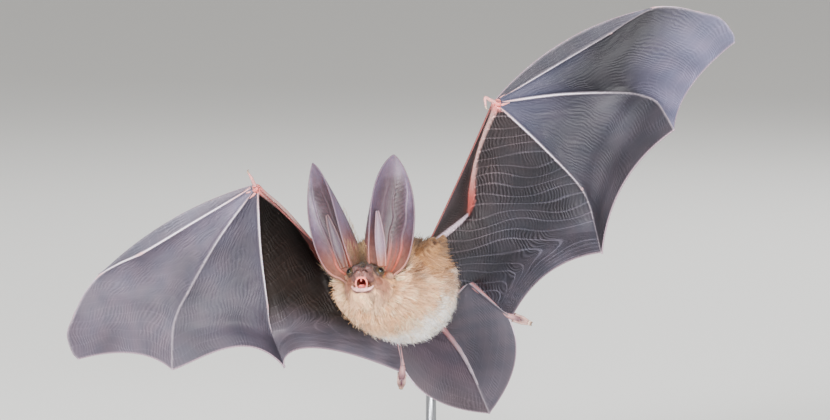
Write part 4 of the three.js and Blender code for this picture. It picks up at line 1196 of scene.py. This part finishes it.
def wing_membrane():
    """Living membrane: a dark leathery film ruled by pale elastic fibres, with fine crinkles between them.
    The crinkles shade one another, so it shines less than a smooth film."""
    made, tree, shader = new_material("wing membrane", {
        "Roughness": 0.55, "IOR": 1.4, "Specular IOR Level": 0.3})
    tint = add_node(tree, "Attribute", {"attribute_name": "tint"})
    web = add_node(tree, "Attribute", {"attribute_name": "web"}).outputs["Vector"]
    _, along, ruled = add_node(tree, "SeparateXYZ", inputs={0: web}).outputs
    # the film crinkles where it is slack, in patches about 8 mm wide
    patch = add_node(tree, "TexNoise", inputs={"Vector": web, "Scale": 0.13, "Detail": 2.0})
    slack = add_node(tree, "MapRange", {"interpolation_type": "SMOOTHSTEP"}, {
        "Value": patch.outputs["Fac"], "From Min": 0.38, "From Max": 0.62, "To Min": 0.12, "To Max": 1.0})
    crinkle = add_node(tree, "TexWave", {"bands_direction": "X"}, {
        "Vector": web, "Scale": WAVE_LENGTH / CRINKLE_SPACING, "Distortion": 4.5, "Detail": 2.0,
        "Detail Scale": 1.2, "Detail Roughness": 0.6})
    # the crinkles' light and dark bands are painted into the colour too, as painted highlight and painted
    # shade beside their bump
    centred = add_node(tree, "Math", {"operation": "SUBTRACT"}, {0: crinkle.outputs["Fac"], 1: 0.5})
    swing = add_node(tree, "Math", {"operation": "MULTIPLY"}, {0: centred, 1: slack})
    depth = add_node(tree, "Math", {"operation": "MULTIPLY_ADD"}, {0: ruled, 1: 0.6, 2: 0.3})
    shade = add_node(tree, "Math", {"operation": "MULTIPLY_ADD"}, {0: swing, 1: depth, 2: 1.0})
    toned = add_node(tree, "VectorMath", {"operation": "SCALE"}, {0: tint, "Scale": shade})
    # the fibres are 0.5 mm wide, and fade in and out
    turn = add_node(tree, "Math", {"operation": "PINGPONG"}, {0: along, 1: FIBRE_SPACING / 2})
    line = add_node(tree, "MapRange", {"interpolation_type": "SMOOTHSTEP"}, {
        "Value": turn, "From Min": FIBRE_SPACING / 2 - 0.34, "From Max": FIBRE_SPACING / 2 - 0.04})
    fading = add_node(tree, "Math", {"operation": "MULTIPLY_ADD"}, {0: slack, 1: 0.5, 2: 0.45})
    faded = add_node(tree, "Math", {"operation": "MULTIPLY"}, {0: line, 1: fading})
    fibre = add_node(tree, "Math", {"operation": "MULTIPLY"}, {0: faded, 1: ruled})
    pale = add_node(tree, "VectorMath", {"operation": "SCALE"}, {0: tint, "Scale": 2.7})
    colour = add_node(tree, "Mix", {"data_type": "VECTOR"}, {"Factor": fibre, 4: toned, 5: pale})
    relief = add_node(tree, "Math", {"operation": "MULTIPLY_ADD"}, {0: swing, 1: depth, 2: fibre})
    bump = add_node(tree, "Bump", inputs={"Strength": 0.6, "Distance": 0.00035, "Height": relief})
    fill(shader, {"Base Color": colour.outputs[1], "Normal": bump})
    return made


PORE_SIZE = 0.5  # drawn coarser than real pores, to show at all


def bare_skin():
    """Thin bare skin over bone, ear and lip: moist, faintly see-through, with fine pores and creases."""
    made, tree, shader = new_material("bare bat skin", {
        "Roughness": 0.42, "IOR": 1.42, "Specular IOR Level": 0.32,
        "Subsurface Weight": 0.12, "Subsurface Scale": 0.0008})
    tint = add_node(tree, "Attribute", {"attribute_name": "tint"})
    location = add_node(tree, "TexCoord").outputs["Object"]
    pores = add_node(tree, "TexNoise", inputs={
        "Vector": location, "Scale": 1 / (PORE_SIZE * MM), "Detail": 4.0, "Roughness": 0.6}).outputs["Fac"]
    shade = add_node(tree, "MapRange", inputs={
        "Value": pores, "From Min": 0.3, "From Max": 0.7, "To Min": 0.85, "To Max": 1.12})
    toned = add_node(tree, "VectorMath", {"operation": "SCALE"}, {0: tint, "Scale": shade})
    bump = add_node(tree, "Bump", inputs={"Strength": 0.35, "Distance": 0.0002, "Height": pores})
    fill(shader, {"Base Color": toned, "Normal": bump})
    return made


def tinted(name, values):
    """A material whose colour is the mesh's own tint."""
    made, tree, shader = new_material(name, values)
    fill(shader, {"Base Color": add_node(tree, "Attribute", {"attribute_name": "tint"})})
    return made


membrane, bare = wing_membrane(), bare_skin()
# smooth horn: a small clear shine along each claw
horn = tinted("claw horn", {"Roughness": 0.3, "IOR": 1.54})
# fine dry hair: hardly any shine, and a faint pale sheen where it is seen at a slant
hair = tinted("bat fur", {"Roughness": 0.7, "IOR": 1.5, "Sheen Weight": 0.1, "Sheen Roughness": 0.4})

# ------------ skin, claws, eyes and tongue as pieces

FLESH = [
    "trunk", "neck", "head", "lower_jaw", "tail",
    *[f"{part}_{name}" for name in POSE for part in (
        "ear", "tragus", "upper_arm", "forearm", "thumb", "finger_2", "finger_3", "finger_4", "finger_5",
        "thigh", "shin", "foot", "web_leading", "web_tip", "web_middle", "web_arm", "web_front", "web_tail")],
]


def place(piece, slot, *nodes):
    """Puts a piece on the still part, instead of the solids that it stands for; slot is not used."""
    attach(piece, "root")
    if nodes:
        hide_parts(*nodes)


place(skin.object("bat_skin", [membrane, bare]), "wing_membrane", *FLESH)
place(claws.object("claws", [horn]), "limb_skin")

# the tongue lies between the jaws, with a groove along it
tongue = Sheet()
tongue_path = smooth_path([(0, -3.4, -4.3), (0, -6, -4.8), (0, -9.1, -4.95)])
points, faces, t = tube(tongue_path, lambda t: 1.25 - 0.3 * t**2, 30, 24, flat=0.9)
points[:, 2] -= 0.25 * hump(points[:, 0], 0.35) * (points[:, 2] > tongue_path.at(t)[:, 2])
tongue.add(from_head(points), faces, linear("#a64b45"))
# smooth wet flesh: small bright reflections over a soft, slightly see-through pink
wet = tinted("wet tongue", {
    "Roughness": 0.2, "IOR": 1.4, "Subsurface Weight": 0.2, "Subsurface Scale": 0.0006})
place(tongue.object("tongue_flesh", [wet]), "tongue", "tongue")

EYE_RINGS, EYE_SIDES = 32, 48
PUPIL, EYE_EDGE = colours("#050303", "#4a3d2b")


def add_eye(name, side):
    """A wet dark eye, with a thin brown edge where the white of the eye would be."""
    ball = Sheet()
    polar, turn = lattice(np.linspace(0.0, math.pi, EYE_RINGS), full_turn(EYE_SIDES))
    points = [np.sin(polar) * np.cos(turn), np.sin(polar) * np.sin(turn), np.cos(polar)]
    points = np.stack(points, -1).reshape(-1, 3)
    off_axis = np.degrees(np.arccos(np.clip(points @ (eye_out * (side, 1, 1)), -1, 1)))
    tint = painted(PUPIL, (EYE_EDGE, smooth(47, 54, off_axis)))
    placed = from_head(points * EYE["radius"] * 0.99 + eye_centre * (side, 1, 1))
    ball.add(placed, [grid_faces(EYE_RINGS, EYE_SIDES, closed=True)[:, ::-1]], tint)
    eye = tinted("wet dark eye", {"Roughness": 0.08, "IOR": 1.36})
    place(ball.object(f"eyeball_{name}", [eye]), "eye", f"eye_{name}")


for name, pose in POSE.items():
    add_eye(name, pose["side"])

# ------------ coat

# a tuft has three rings of three corners and a tip: their shares of its length, and the rings' widths
RING_SHARES = np.array([0.0, 0.4, 0.75, 1.0])
RING_WIDTHS = np.array([0.7, 1.0, 0.62])
WALLS = np.array([[3 * r + c, 3 * r + (c + 1) % 3, 3 * r + 3 + (c + 1) % 3, 3 * r + 3 + c]
                  for r in (0, 1) for c in range(3)])
ENDS = np.array([[6, 7, 9], [7, 8, 9], [8, 6, 9], [2, 1, 0]])
CORNERS = 10  # of each tuft
# tones of the hair's roots beside its colour, of red, green and blue
GOLDEN_ROOTS, WHITE_ROOTS = np.array([0.42, 0.3, 0.2]), np.array([0.85, 0.8, 0.76])
HEAD_ROOTS, EAR_ROOTS, LIMB_ROOTS = (0.66, 0.58, 0.52), (0.6, 0.52, 0.45), (0.5, 0.42, 0.35)
PATCH = 0.003  # each tuft's own patch of the coat's map
TUFTS_PER_PIECE = 11900
LOCKS_PER_PIECE = 420
SHOULDER_FLUFF = np.array([4.0, -1, -16])  # where the coat stands fullest, under the raised arm


def clear_of_ears(points):
    return outside_cups(in_head(points)) > -0.3


def add_coat(name, roots, out, lie, depth, reach, width, root_tint, tip_tint, unwrap, centres=None,
             round_body=1e3):
    """Tufts as thin curved spikes of three sides: each stands out to its depth and lies over by its reach,
    down along a body of the given radius, and leans towards its centre."""
    count = len(roots)
    s = RING_SHARES[None, :, None]
    side = unit(np.cross(out, lie))
    sway = side * share_of(random.normal(0, 0.09, count) * reach)
    axis = roots[:, None] + (out * share_of(depth))[:, None] * (1 - (1 - s) ** 1.7)
    axis = axis + (lie * share_of(reach) + sway)[:, None] * s**1.35
    axis = axis - (out * share_of(reach**2 / (2 * round_body)))[:, None] * s**2.7
    if centres is not None:
        pull = share_of(random.uniform(0.2, 0.8, count))
        axis = axis + ((centres - roots) * pull)[:, None] * s**1.5
    clear = clear_of_ears(axis[:, 1:]).all(1)
    axis, side, width, unwrap = axis[clear], side[clear], width[clear], unwrap[clear]
    root_tint, tip_tint, count = root_tint[clear], tip_tint[clear], clear.sum()
    run = unit(np.stack([axis[:, 1] - axis[:, 0], axis[:, 2] - axis[:, 0], axis[:, 3] - axis[:, 1]], 1))
    flat = np.broadcast_to(side[:, None], run.shape)
    thick = unit(np.cross(run, flat))
    girth = (width[:, None] * RING_WIDTHS[None])[..., None] / 2
    turns = [math.pi / 2 + corner * 2 * math.pi / 3 for corner in range(3)]
    corners = [axis[:, :3] + (flat * math.cos(turn) + 0.5 * thick * math.sin(turn)) * girth for turn in turns]
    points = np.concatenate([np.stack(corners, 2).reshape(count, 9, 3), axis[:, 3:]], 1)
    base = np.arange(count)[:, None, None] * CORNERS
    shade = share_of(np.concatenate([np.repeat([0.0, 0.5, 0.85], 3), [1.0]]))[None]
    tint = mix(root_tint[:, None], tip_tint[:, None], shade)
    faces = [(group[None] + base).reshape(-1, group.shape[1]) for group in (WALLS, ENDS)]
    coat = Sheet()
    coat.add(points.reshape(-1, 3), faces, tint.reshape(-1, 3))
    made = coat.object(name, [hair])
    local = np.stack([np.array([-0.5, 0.5, 0.0] * 3 + [0.0]),
                      np.concatenate([np.repeat([-0.5, -0.1, 0.25], 3), [0.5]])], 1) * PATCH
    spots = (unwrap[:, None] + local[None]).reshape(-1, 2)
    layer = made.data.uv_layers.new(name="OFBake")
    index = np.empty(len(made.data.loops), np.int32)
    made.data.loops.foreach_get("vertex_index", index)
    layer.data.foreach_set("uv", spots[index].astype(np.float32).ravel())
    place(made, "coat")


def varied(colour, mean, spread):
    """A colour for each tuft's tip, a little lighter or darker than the coat there."""
    return np.clip(colour * random.normal(mean, spread, (len(colour), 1)), 0, 0.98)


def jittered(count):
    """Places in the unit square, one to each cell of a grid, none within a patch of the next."""
    side = int(math.sqrt(count))
    cell = 1 / side
    i, j = lattice(np.arange(side), np.arange(side))
    room = 0.5 - PATCH / 2 / cell
    shift = random.uniform(-room, room, (2, side, side))
    return np.stack([(i + 0.5 + shift[0]) * cell, (j + 0.5 + shift[1]) * cell], -1).reshape(-1, 2)


def nearest(points, centres):
    tree = KDTree(len(centres))
    for i, centre in enumerate(centres):
        tree.insert(centre, i)
    tree.balance()
    return np.array([tree.find(point)[1] for point in points])


def locks(roots, centres, spread):
    """Tufts gather in locks round their centres: each lock has its own turn, length and tone.
    Gives these and its lock's centre for each tuft."""
    own = nearest(roots, centres)
    count = len(centres)
    turn = random.normal(0, spread, count)[own]
    length = random.normal(1, 0.13, count)[own]
    tone = random.normal(0, 1, count)[own]
    return centres[own], turn, length, tone


def turned_about(lie, out, angle):
    return unit(lie * share_of(np.cos(angle)) + np.cross(out, lie) * share_of(np.sin(angle)))


# the share of the trunk's skin that lies before each share of the spine
even = np.linspace(0, 1, 200)
covered = np.cumsum(skin_radius(even))
covered = (covered - covered[0]) / (covered[-1] - covered[0])


def on_coat(spots, shares, angles):
    """Places of the unit square spread over the trunk, between two shares of its skin and two angles."""
    t = np.interp(mix(*shares, spots[:, 0]), covered, even)
    return t, *on_trunk(t, np.radians(mix(*angles, spots[:, 1])))


def trunk_coat(name, shares, angles):
    """The coat between two shares of the skin's area and two angles round the trunk."""
    spots = jittered(TUFTS_PER_PIECE)
    t, roots, out, ahead = on_coat(spots, shares, angles)
    centres = on_coat(jittered(LOCKS_PER_PIECE), shares, angles)[1]
    centres, turn, long, tone = locks(roots, centres, 0.16)
    count = len(t)
    lie = turned_about(ahead, out, 0.3 * wander(roots, 13, 71) + turn + random.normal(0, 0.08, count))
    under = random.random(count) < 0.3
    length = np.where(under, random.uniform(0.45, 0.7, count), random.uniform(0.8, 1.12, count)) * long
    stray = random.random(count) < 0.12
    fluff = hump(np.linalg.norm(roots - SHOULDER_FLUFF, axis=1), 8)
    reach = mix(2.4, 8.0, smooth(0, 0.25, t)) * random.uniform(0.6, 1.2, count) * long
    at_tip = np.minimum(t + 0.8 * reach / spine.length, 1)
    depth = np.maximum(coat_radius(at_tip) - skin_radius(t) - 0.6, 0.8) * np.minimum(length, 1.1)
    depth = depth + 3.4 * fluff * length
    depth = depth + np.where(stray, random.uniform(0.4, 1.3, count), 0)
    width = np.where(stray, 0.12, random.uniform(0.12, 0.28, count))
    base = coat_tint(roots)
    streak = (0.1, 0.16, 0.24) + share_of(golden(roots)) * (0.18, 0.2, 0.2)
    colour = base * (1 + share_of(np.clip(tone, -2.2, 1)) * streak)
    bright = share_of(smooth(0.6, 0.95, base[:, 2]))  # white hair has hardly darker roots
    root = colour * mix(GOLDEN_ROOTS, WHITE_ROOTS, bright)
    add_coat(name, roots, out, lie, depth, reach, width, root, varied(colour, 1.1, 0.17), spots, centres,
             coat_radius(t) * random.uniform(0.8, 2.0, count))


trunk_coat("coat_neck", (0.0, 0.2), (-180, 180))
for name, angles in (("belly_left", (0, 75)), ("belly_right", (-75, 0)),
                     ("flank_left", (75, 180)), ("flank_right", (-180, -75))):
    trunk_coat(f"coat_{name}", (0.2, 1.0), angles)

# ------------ the head's coat

a, b, c = (head_points[head_quads[:, k]] for k in range(3))
head_normals = np.zeros_like(head_points)
for k in range(4):
    np.add.at(head_normals, head_quads[:, k], np.cross(b - a, c - a))
head_normals = unit(head_normals)


def head_coat(name, keep, tints, length_of, stand, girth, tuft_count, seeds):
    """Hair on the head: one tuft to each cell of a map round the head's middle."""
    away = unit(head_points - np.array([0, -1.0, 0]))
    spots = np.stack([np.arctan2(away[:, 0], away[:, 2]) / (2 * math.pi) + 0.5, (away[:, 1] + 1) / 2], 1)
    keep = keep & ((away * head_normals).sum(1) > 0.05)
    side = int(math.sqrt(tuft_count / max(keep.mean(), 0.01) * 0.9))
    chosen = random.permutation(np.flatnonzero(keep))
    cells = np.floor(spots[chosen] * side).astype(int)
    _, first = np.unique(cells[:, 0] * side + cells[:, 1], return_index=True)
    chosen = random.permutation(chosen[first])[:tuft_count]
    roots, out = head_points[chosen], head_normals[chosen]
    down = share_of(smooth(1, -4, roots[:, 2]))
    back = unit(np.array([0, 1.0, 0]) + down * (0, -0.3, -0.8))
    lie = unit(back - out * share_of((back * out).sum(1)))
    centres, turn, long, tone = locks(roots, roots[:: max(1, len(roots) // seeds)], 0.25)
    lie = turned_about(lie, out, turn + 0.35 * wander(roots, 5, 77))
    length = length_of(chosen) * random.uniform(0.55, 1.2, len(chosen)) * long
    colour = tints[chosen] * (1 + 0.12 * share_of(tone))
    add_coat(name, from_head(roots), out @ HEAD_TURN.T, lie @ HEAD_TURN.T, stand * length, 0.8 * length,
             random.uniform(*girth, len(chosen)), colour * HEAD_ROOTS, varied(colour, 1.08, 0.12),
             spots[chosen], from_head(mix(roots, centres, 0.6)))


from_mouth = np.minimum(egg(q, *MOUTH), ridge_along(q, LOWER_LIP, 0.5, 0.35))
from_cup = outside_cups(head_points)
fur_line = smooth(7.4, 3.4, fore + 0.5 * smooth(1, 3, up))  # 0 on the muzzle, 1 behind the eyes


def head_hair_length(chosen):
    deep = mix(1.6, 5.2, smooth(2.0, -3.0, up[chosen]))
    clear = smooth(1.4, 3.2, eye_distance[chosen]) * mix(0.3, 1, smooth(0, 3.5, from_cup[chosen]))
    clear = clear * mix(1, 0.15, smooth(0.2, 0.75, cheek[chosen]))
    tall = 2.5 * smooth(2.5, 5, up[chosen]) * smooth(1.5, -1, fore[chosen])
    return 0.4 + (deep + tall) * fur_line[chosen] * clear


furry = (fur_line > 0.12) & (eye_distance > 2.2) & (cheek < 0.8) & (from_mouth > 1.1) & (from_cup > 0)
downy = (fur_line < 0.6) & (eye_distance > 1.45) & (from_mouth > 0.9) & (fore < 11.0)
head_coat("coat_head", furry, fur_of_head, head_hair_length, 0.42, (0.13, 0.28), TUFTS_PER_PIECE, 420)
head_coat("coat_face", downy, tint_of_head, lambda chosen: 0.45 + 0.5 * fur_line[chosen], 0.35, (0.06, 0.12),
          TUFTS_PER_PIECE // 3, 400)


FRINGE, EAR_FUR, LIMB_FUR = colours("#93734d", "#4c351d", "#a47a50")


def ear_coat(name, back):
    """Hair on the back of an ear's lower half, thick at its root and a thin fringe along the inner rim."""
    places, out, v, outer = back
    rows, columns = v.shape
    spots = jittered(TUFTS_PER_PIECE // 3)
    row, column = (spots * (rows - 1, columns - 1)).round().astype(int).T
    root_part = smooth(0.24, 0.04, v)
    fringe = hump(outer + 0.33, 0.13) * smooth(0.7, 0.35, v)
    density = np.maximum(root_part, 0.6 * fringe)[row, column]
    keep = random.random(len(spots)) < density
    row, column, spots = row[keep], column[keep], spots[keep]
    roots, out = places[row, column], out[row, column]
    lie = unit(places[np.minimum(row + 2, rows - 1), column] - places[row, column])
    length = mix(2.4, 3.4, root_part[row, column]) * random.uniform(0.5, 1.1, len(row))
    colour = painted(FRINGE, (EAR_FUR, root_part[row, column]))
    add_coat(name, roots, out, lie, 0.45 * length, 0.9 * length, random.uniform(0.1, 0.24, len(row)),
             colour * EAR_ROOTS, varied(colour, 1.05, 0.1), spots)


for name, back in zip(POSE, ear_backs):
    ear_coat(f"coat_ear_{name}", back)


def limb_coat(name, path, radius, reach, hair=3.6, sweep=0.0, tufts=TUFTS_PER_PIECE // 5):
    """Tufts over the root of a limb, up to a share of its length and shorter the farther out they grow; sweep
    turns them towards the rump."""
    spots = jittered(tufts)
    t = spots[:, 0] * reach
    ahead = path.along(t)
    across = unit(np.cross(ahead, (0.3, 0.9, 0.2)))
    angle = spots[:, 1] * 2 * math.pi
    out = across * share_of(np.cos(angle)) + np.cross(ahead, across) * share_of(np.sin(angle))
    roots = path.at(t) + out * share_of(radius(t))
    centres, turn, long, tone = locks(roots, roots[::24], 0.12)
    length = mix(hair, 1.0, spots[:, 0] ** 2) * random.uniform(0.6, 1.1, len(t)) * long
    lie = unit(mix(ahead, TOWARDS_RUMP, sweep) + random.normal(0, 0.08, out.shape))
    lie = turned_about(lie, unit(np.cross(lie, np.cross(out, lie))), turn)
    streak = 1 + share_of(np.clip(tone, -2, 1)) * (0.2, 0.25, 0.3)
    colour = mix(coat_tint(roots), LIMB_FUR, 0.3) * streak
    add_coat(name, roots, out, lie, 0.4 * length, length, random.uniform(0.12, 0.26, len(t)),
             colour * LIMB_ROOTS, varied(colour, 1.1, 0.15), spots, mix(roots, centres, 0.6))


TOWARDS_RUMP = unit(spine.at(0.9) - spine.at(0.3) + (2.0, 0, -4))
for name, leg in legs.items():
    wing = wings[name]
    upper_arm = Path([wing["shoulder"], wing["elbow"]])
    if name == "left":
        limb_coat("coat_arm_left", upper_arm, upper_arm_radius, 0.5, 7.5, 0.75, TUFTS_PER_PIECE // 2)
        limb_coat("coat_shoulder_left", Path([wing["shoulder"], wing["anchor"]]), lambda t: 1.2 + 0 * t, 1.0,
                  7.5, 0.7, TUFTS_PER_PIECE // 3)
    else:
        limb_coat("coat_arm_right", upper_arm, upper_arm_radius, 0.3)
    limb_coat(f"coat_thigh_{name}", Path([leg["hip"], leg["knee"]]), lambda t: 1.8 - 0.75 * t, 0.45)

# ------------ stand

WOOD, STEEL = colours("#3a2b22", "#b9bcc0")
GRAIN_SPACING = 2.5  # of the growth rings, cut lengthwise


def stained_wood():
    """Turned hardwood, stained dark and waxed: fine rings of grain under a soft sheen."""
    made, tree, shader = new_material("stained turned wood", {
        "Roughness": 0.38, "IOR": 1.5, "Coat Weight": 0.15})
    location = add_node(tree, "TexCoord").outputs["Object"]
    stretch = add_node(tree, "Mapping", inputs={"Vector": location, "Scale": (1.0, 0.12, 1.0)})
    grain = add_node(tree, "TexNoise", inputs={
        "Vector": stretch, "Scale": 1 / (GRAIN_SPACING * MM), "Detail": 5.0,
        "Roughness": 0.65}).outputs["Fac"]
    ramp = add_node(tree, "ValToRGB", inputs={"Fac": grain})
    for stop, (position, code) in zip(ramp.color_ramp.elements, ((0.35, "#2c211b"), (0.7, "#4a3629"))):
        stop.position = position
        stop.color = (*linear(code), 1)
    bump = add_node(tree, "Bump", inputs={"Strength": 0.15, "Distance": 0.0002, "Height": grain})
    fill(shader, {"Base Color": ramp, "Normal": bump})
    return made


def brushed_steel():
    """Drawn stainless rod, brushed round: soft grey reflections."""
    made, _, _ = new_material("brushed stainless steel", {
        "Base Color": (*STEEL, 1), "Metallic": 1.0, "Roughness": 0.32})
    return made


LATHE_SIDES = 128


def lathed(name, outline, material):
    """A round piece turned from an outline of (radius, height) in millimetres."""
    turn = full_turn(LATHE_SIDES)
    rings = [np.stack([r * np.cos(turn), r * np.sin(turn), np.full(LATHE_SIDES, z)], 1) for r, z in outline]
    points = np.vstack([*rings, [[0, 0, outline[0][1]], [0, 0, outline[-1][1]]]])
    caps = end_caps(len(outline), LATHE_SIDES)[:, (0, 2, 1)]
    turned = Sheet()
    turned.add(points, [grid_faces(len(outline), LATHE_SIDES, closed=True), caps], WOOD)
    return turned.object(name, [material], lambda p: p * MM)


_, base_high = (np.array(corner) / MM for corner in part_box("stand_base"))
base_radius, base_top = base_high[0], base_high[2]
bevel, foot_bevel = 1.2, 0.5
corner = np.radians(np.linspace(0, 90, 9))
rim = [(base_radius - bevel + bevel * math.cos(a), base_top - bevel + bevel * math.sin(a)) for a in corner]
foot_rim = [(base_radius - foot_bevel + foot_bevel * math.sin(a), foot_bevel - foot_bevel * math.cos(a))
            for a in corner]
base = lathed("stand_foot", [*foot_rim, *rim], stained_wood())
place(base, "stand_wood", "stand_base")
steel = brushed_steel()


def stand_rod(name, node, start, end, radius):
    points, faces, _ = tube(Path([start, end]), lambda t: radius + 0 * t, 2, 48, reach=0.0)
    rod_piece = Sheet()
    rod_piece.add(points, faces, STEEL)
    place(rod_piece.object(name, [steel], lambda p: p * MM), "stand_steel", node)


post_low, post_high = (np.array(corner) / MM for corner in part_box("stand_post"))
middle = (post_low + post_high) / 2
radius = (post_high[0] - post_low[0]) / 2
SUNK = 0.5  # how far the upright goes into the base
BRACKET_DROP = 1.5  # from the upright's top to the bracket's middle
ROD_ENTRY = (-12.5, 2.5, 8.5)  # where the bracket ends inside the lower back, by the trunk's axes
foot, head = (middle[0], middle[1], base_top - SUNK), (middle[0], middle[1], post_high[2])
stand_rod("stand_upright", "stand_post", foot, head, radius)
bracket = (middle[0], middle[1], post_high[2] - BRACKET_DROP)
stand_rod("stand_bracket", "stand_arm", bracket, on_stand(in_trunk(ROD_ENTRY, 1)) / MM, radius)

# ------------ floor, light and camera

ground = bpy.data.meshes.new("floor")
FLOOR = 8.0  # half its side
corners = [(x * FLOOR, y * FLOOR, 0) for x, y in ((-1, -1), (1, -1), (1, 1), (-1, 1))]
ground.from_pydata(corners, [], [(0, 1, 2, 3)])
floor = bpy.data.objects.new("floor", ground)
bpy.context.scene.collection.objects.link(floor)
# matt paper: an even pale ground without reflections
paper, _, _ = new_material("pale backdrop paper", {"Base Color": (*linear("#e4e4e1"), 1), "Roughness": 0.9})
ground.materials.append(paper)
floor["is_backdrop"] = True


def softbox(name, location, target, size, watts):
    light = bpy.data.lights.new(name, "AREA")
    light.shape, light.size, light.energy = "SQUARE", size, watts
    made = bpy.data.objects.new(name, light)
    bpy.context.scene.collection.objects.link(made)
    made.location = location
    made.rotation_euler = (Vector(target) - Vector(location)).to_track_quat("-Z", "Y").to_euler()


aimed = (0, 0, 0.09)
softbox("key", (-0.45, -0.95, 0.7), aimed, 0.4, 19)
softbox("front", (0.12, -1.15, 0.12), aimed, 0.35, 42)
softbox("fill", (0.9, -0.6, 0.35), aimed, 0.7, 6)
softbox("rim", (0.3, 0.8, 0.9), aimed, 0.5, 9)
world = bpy.data.worlds.new("studio")
bpy.context.scene.world = world
world.use_nodes = True
world.node_tree.nodes["Background"].inputs["Color"].default_value = (*linear("#eae8e6"), 1)
world.node_tree.nodes["Background"].inputs["Strength"].default_value = 0.75

CAMERA_DISTANCE = 1000  # in front of the flight frame's origin
camera_data = bpy.data.cameras.new("camera")
camera_data.lens, camera_data.sensor_width = 146.6, 36
camera_data.clip_start, camera_data.clip_end = 0.05, 50
camera = bpy.data.objects.new("camera", camera_data)
bpy.context.scene.collection.objects.link(camera)
camera.location = on_stand((0, -CAMERA_DISTANCE, 0))
camera.rotation_euler = (math.pi / 2 + math.radians(TILT), 0, 0)
bpy.context.scene.camera = camera

low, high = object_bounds()
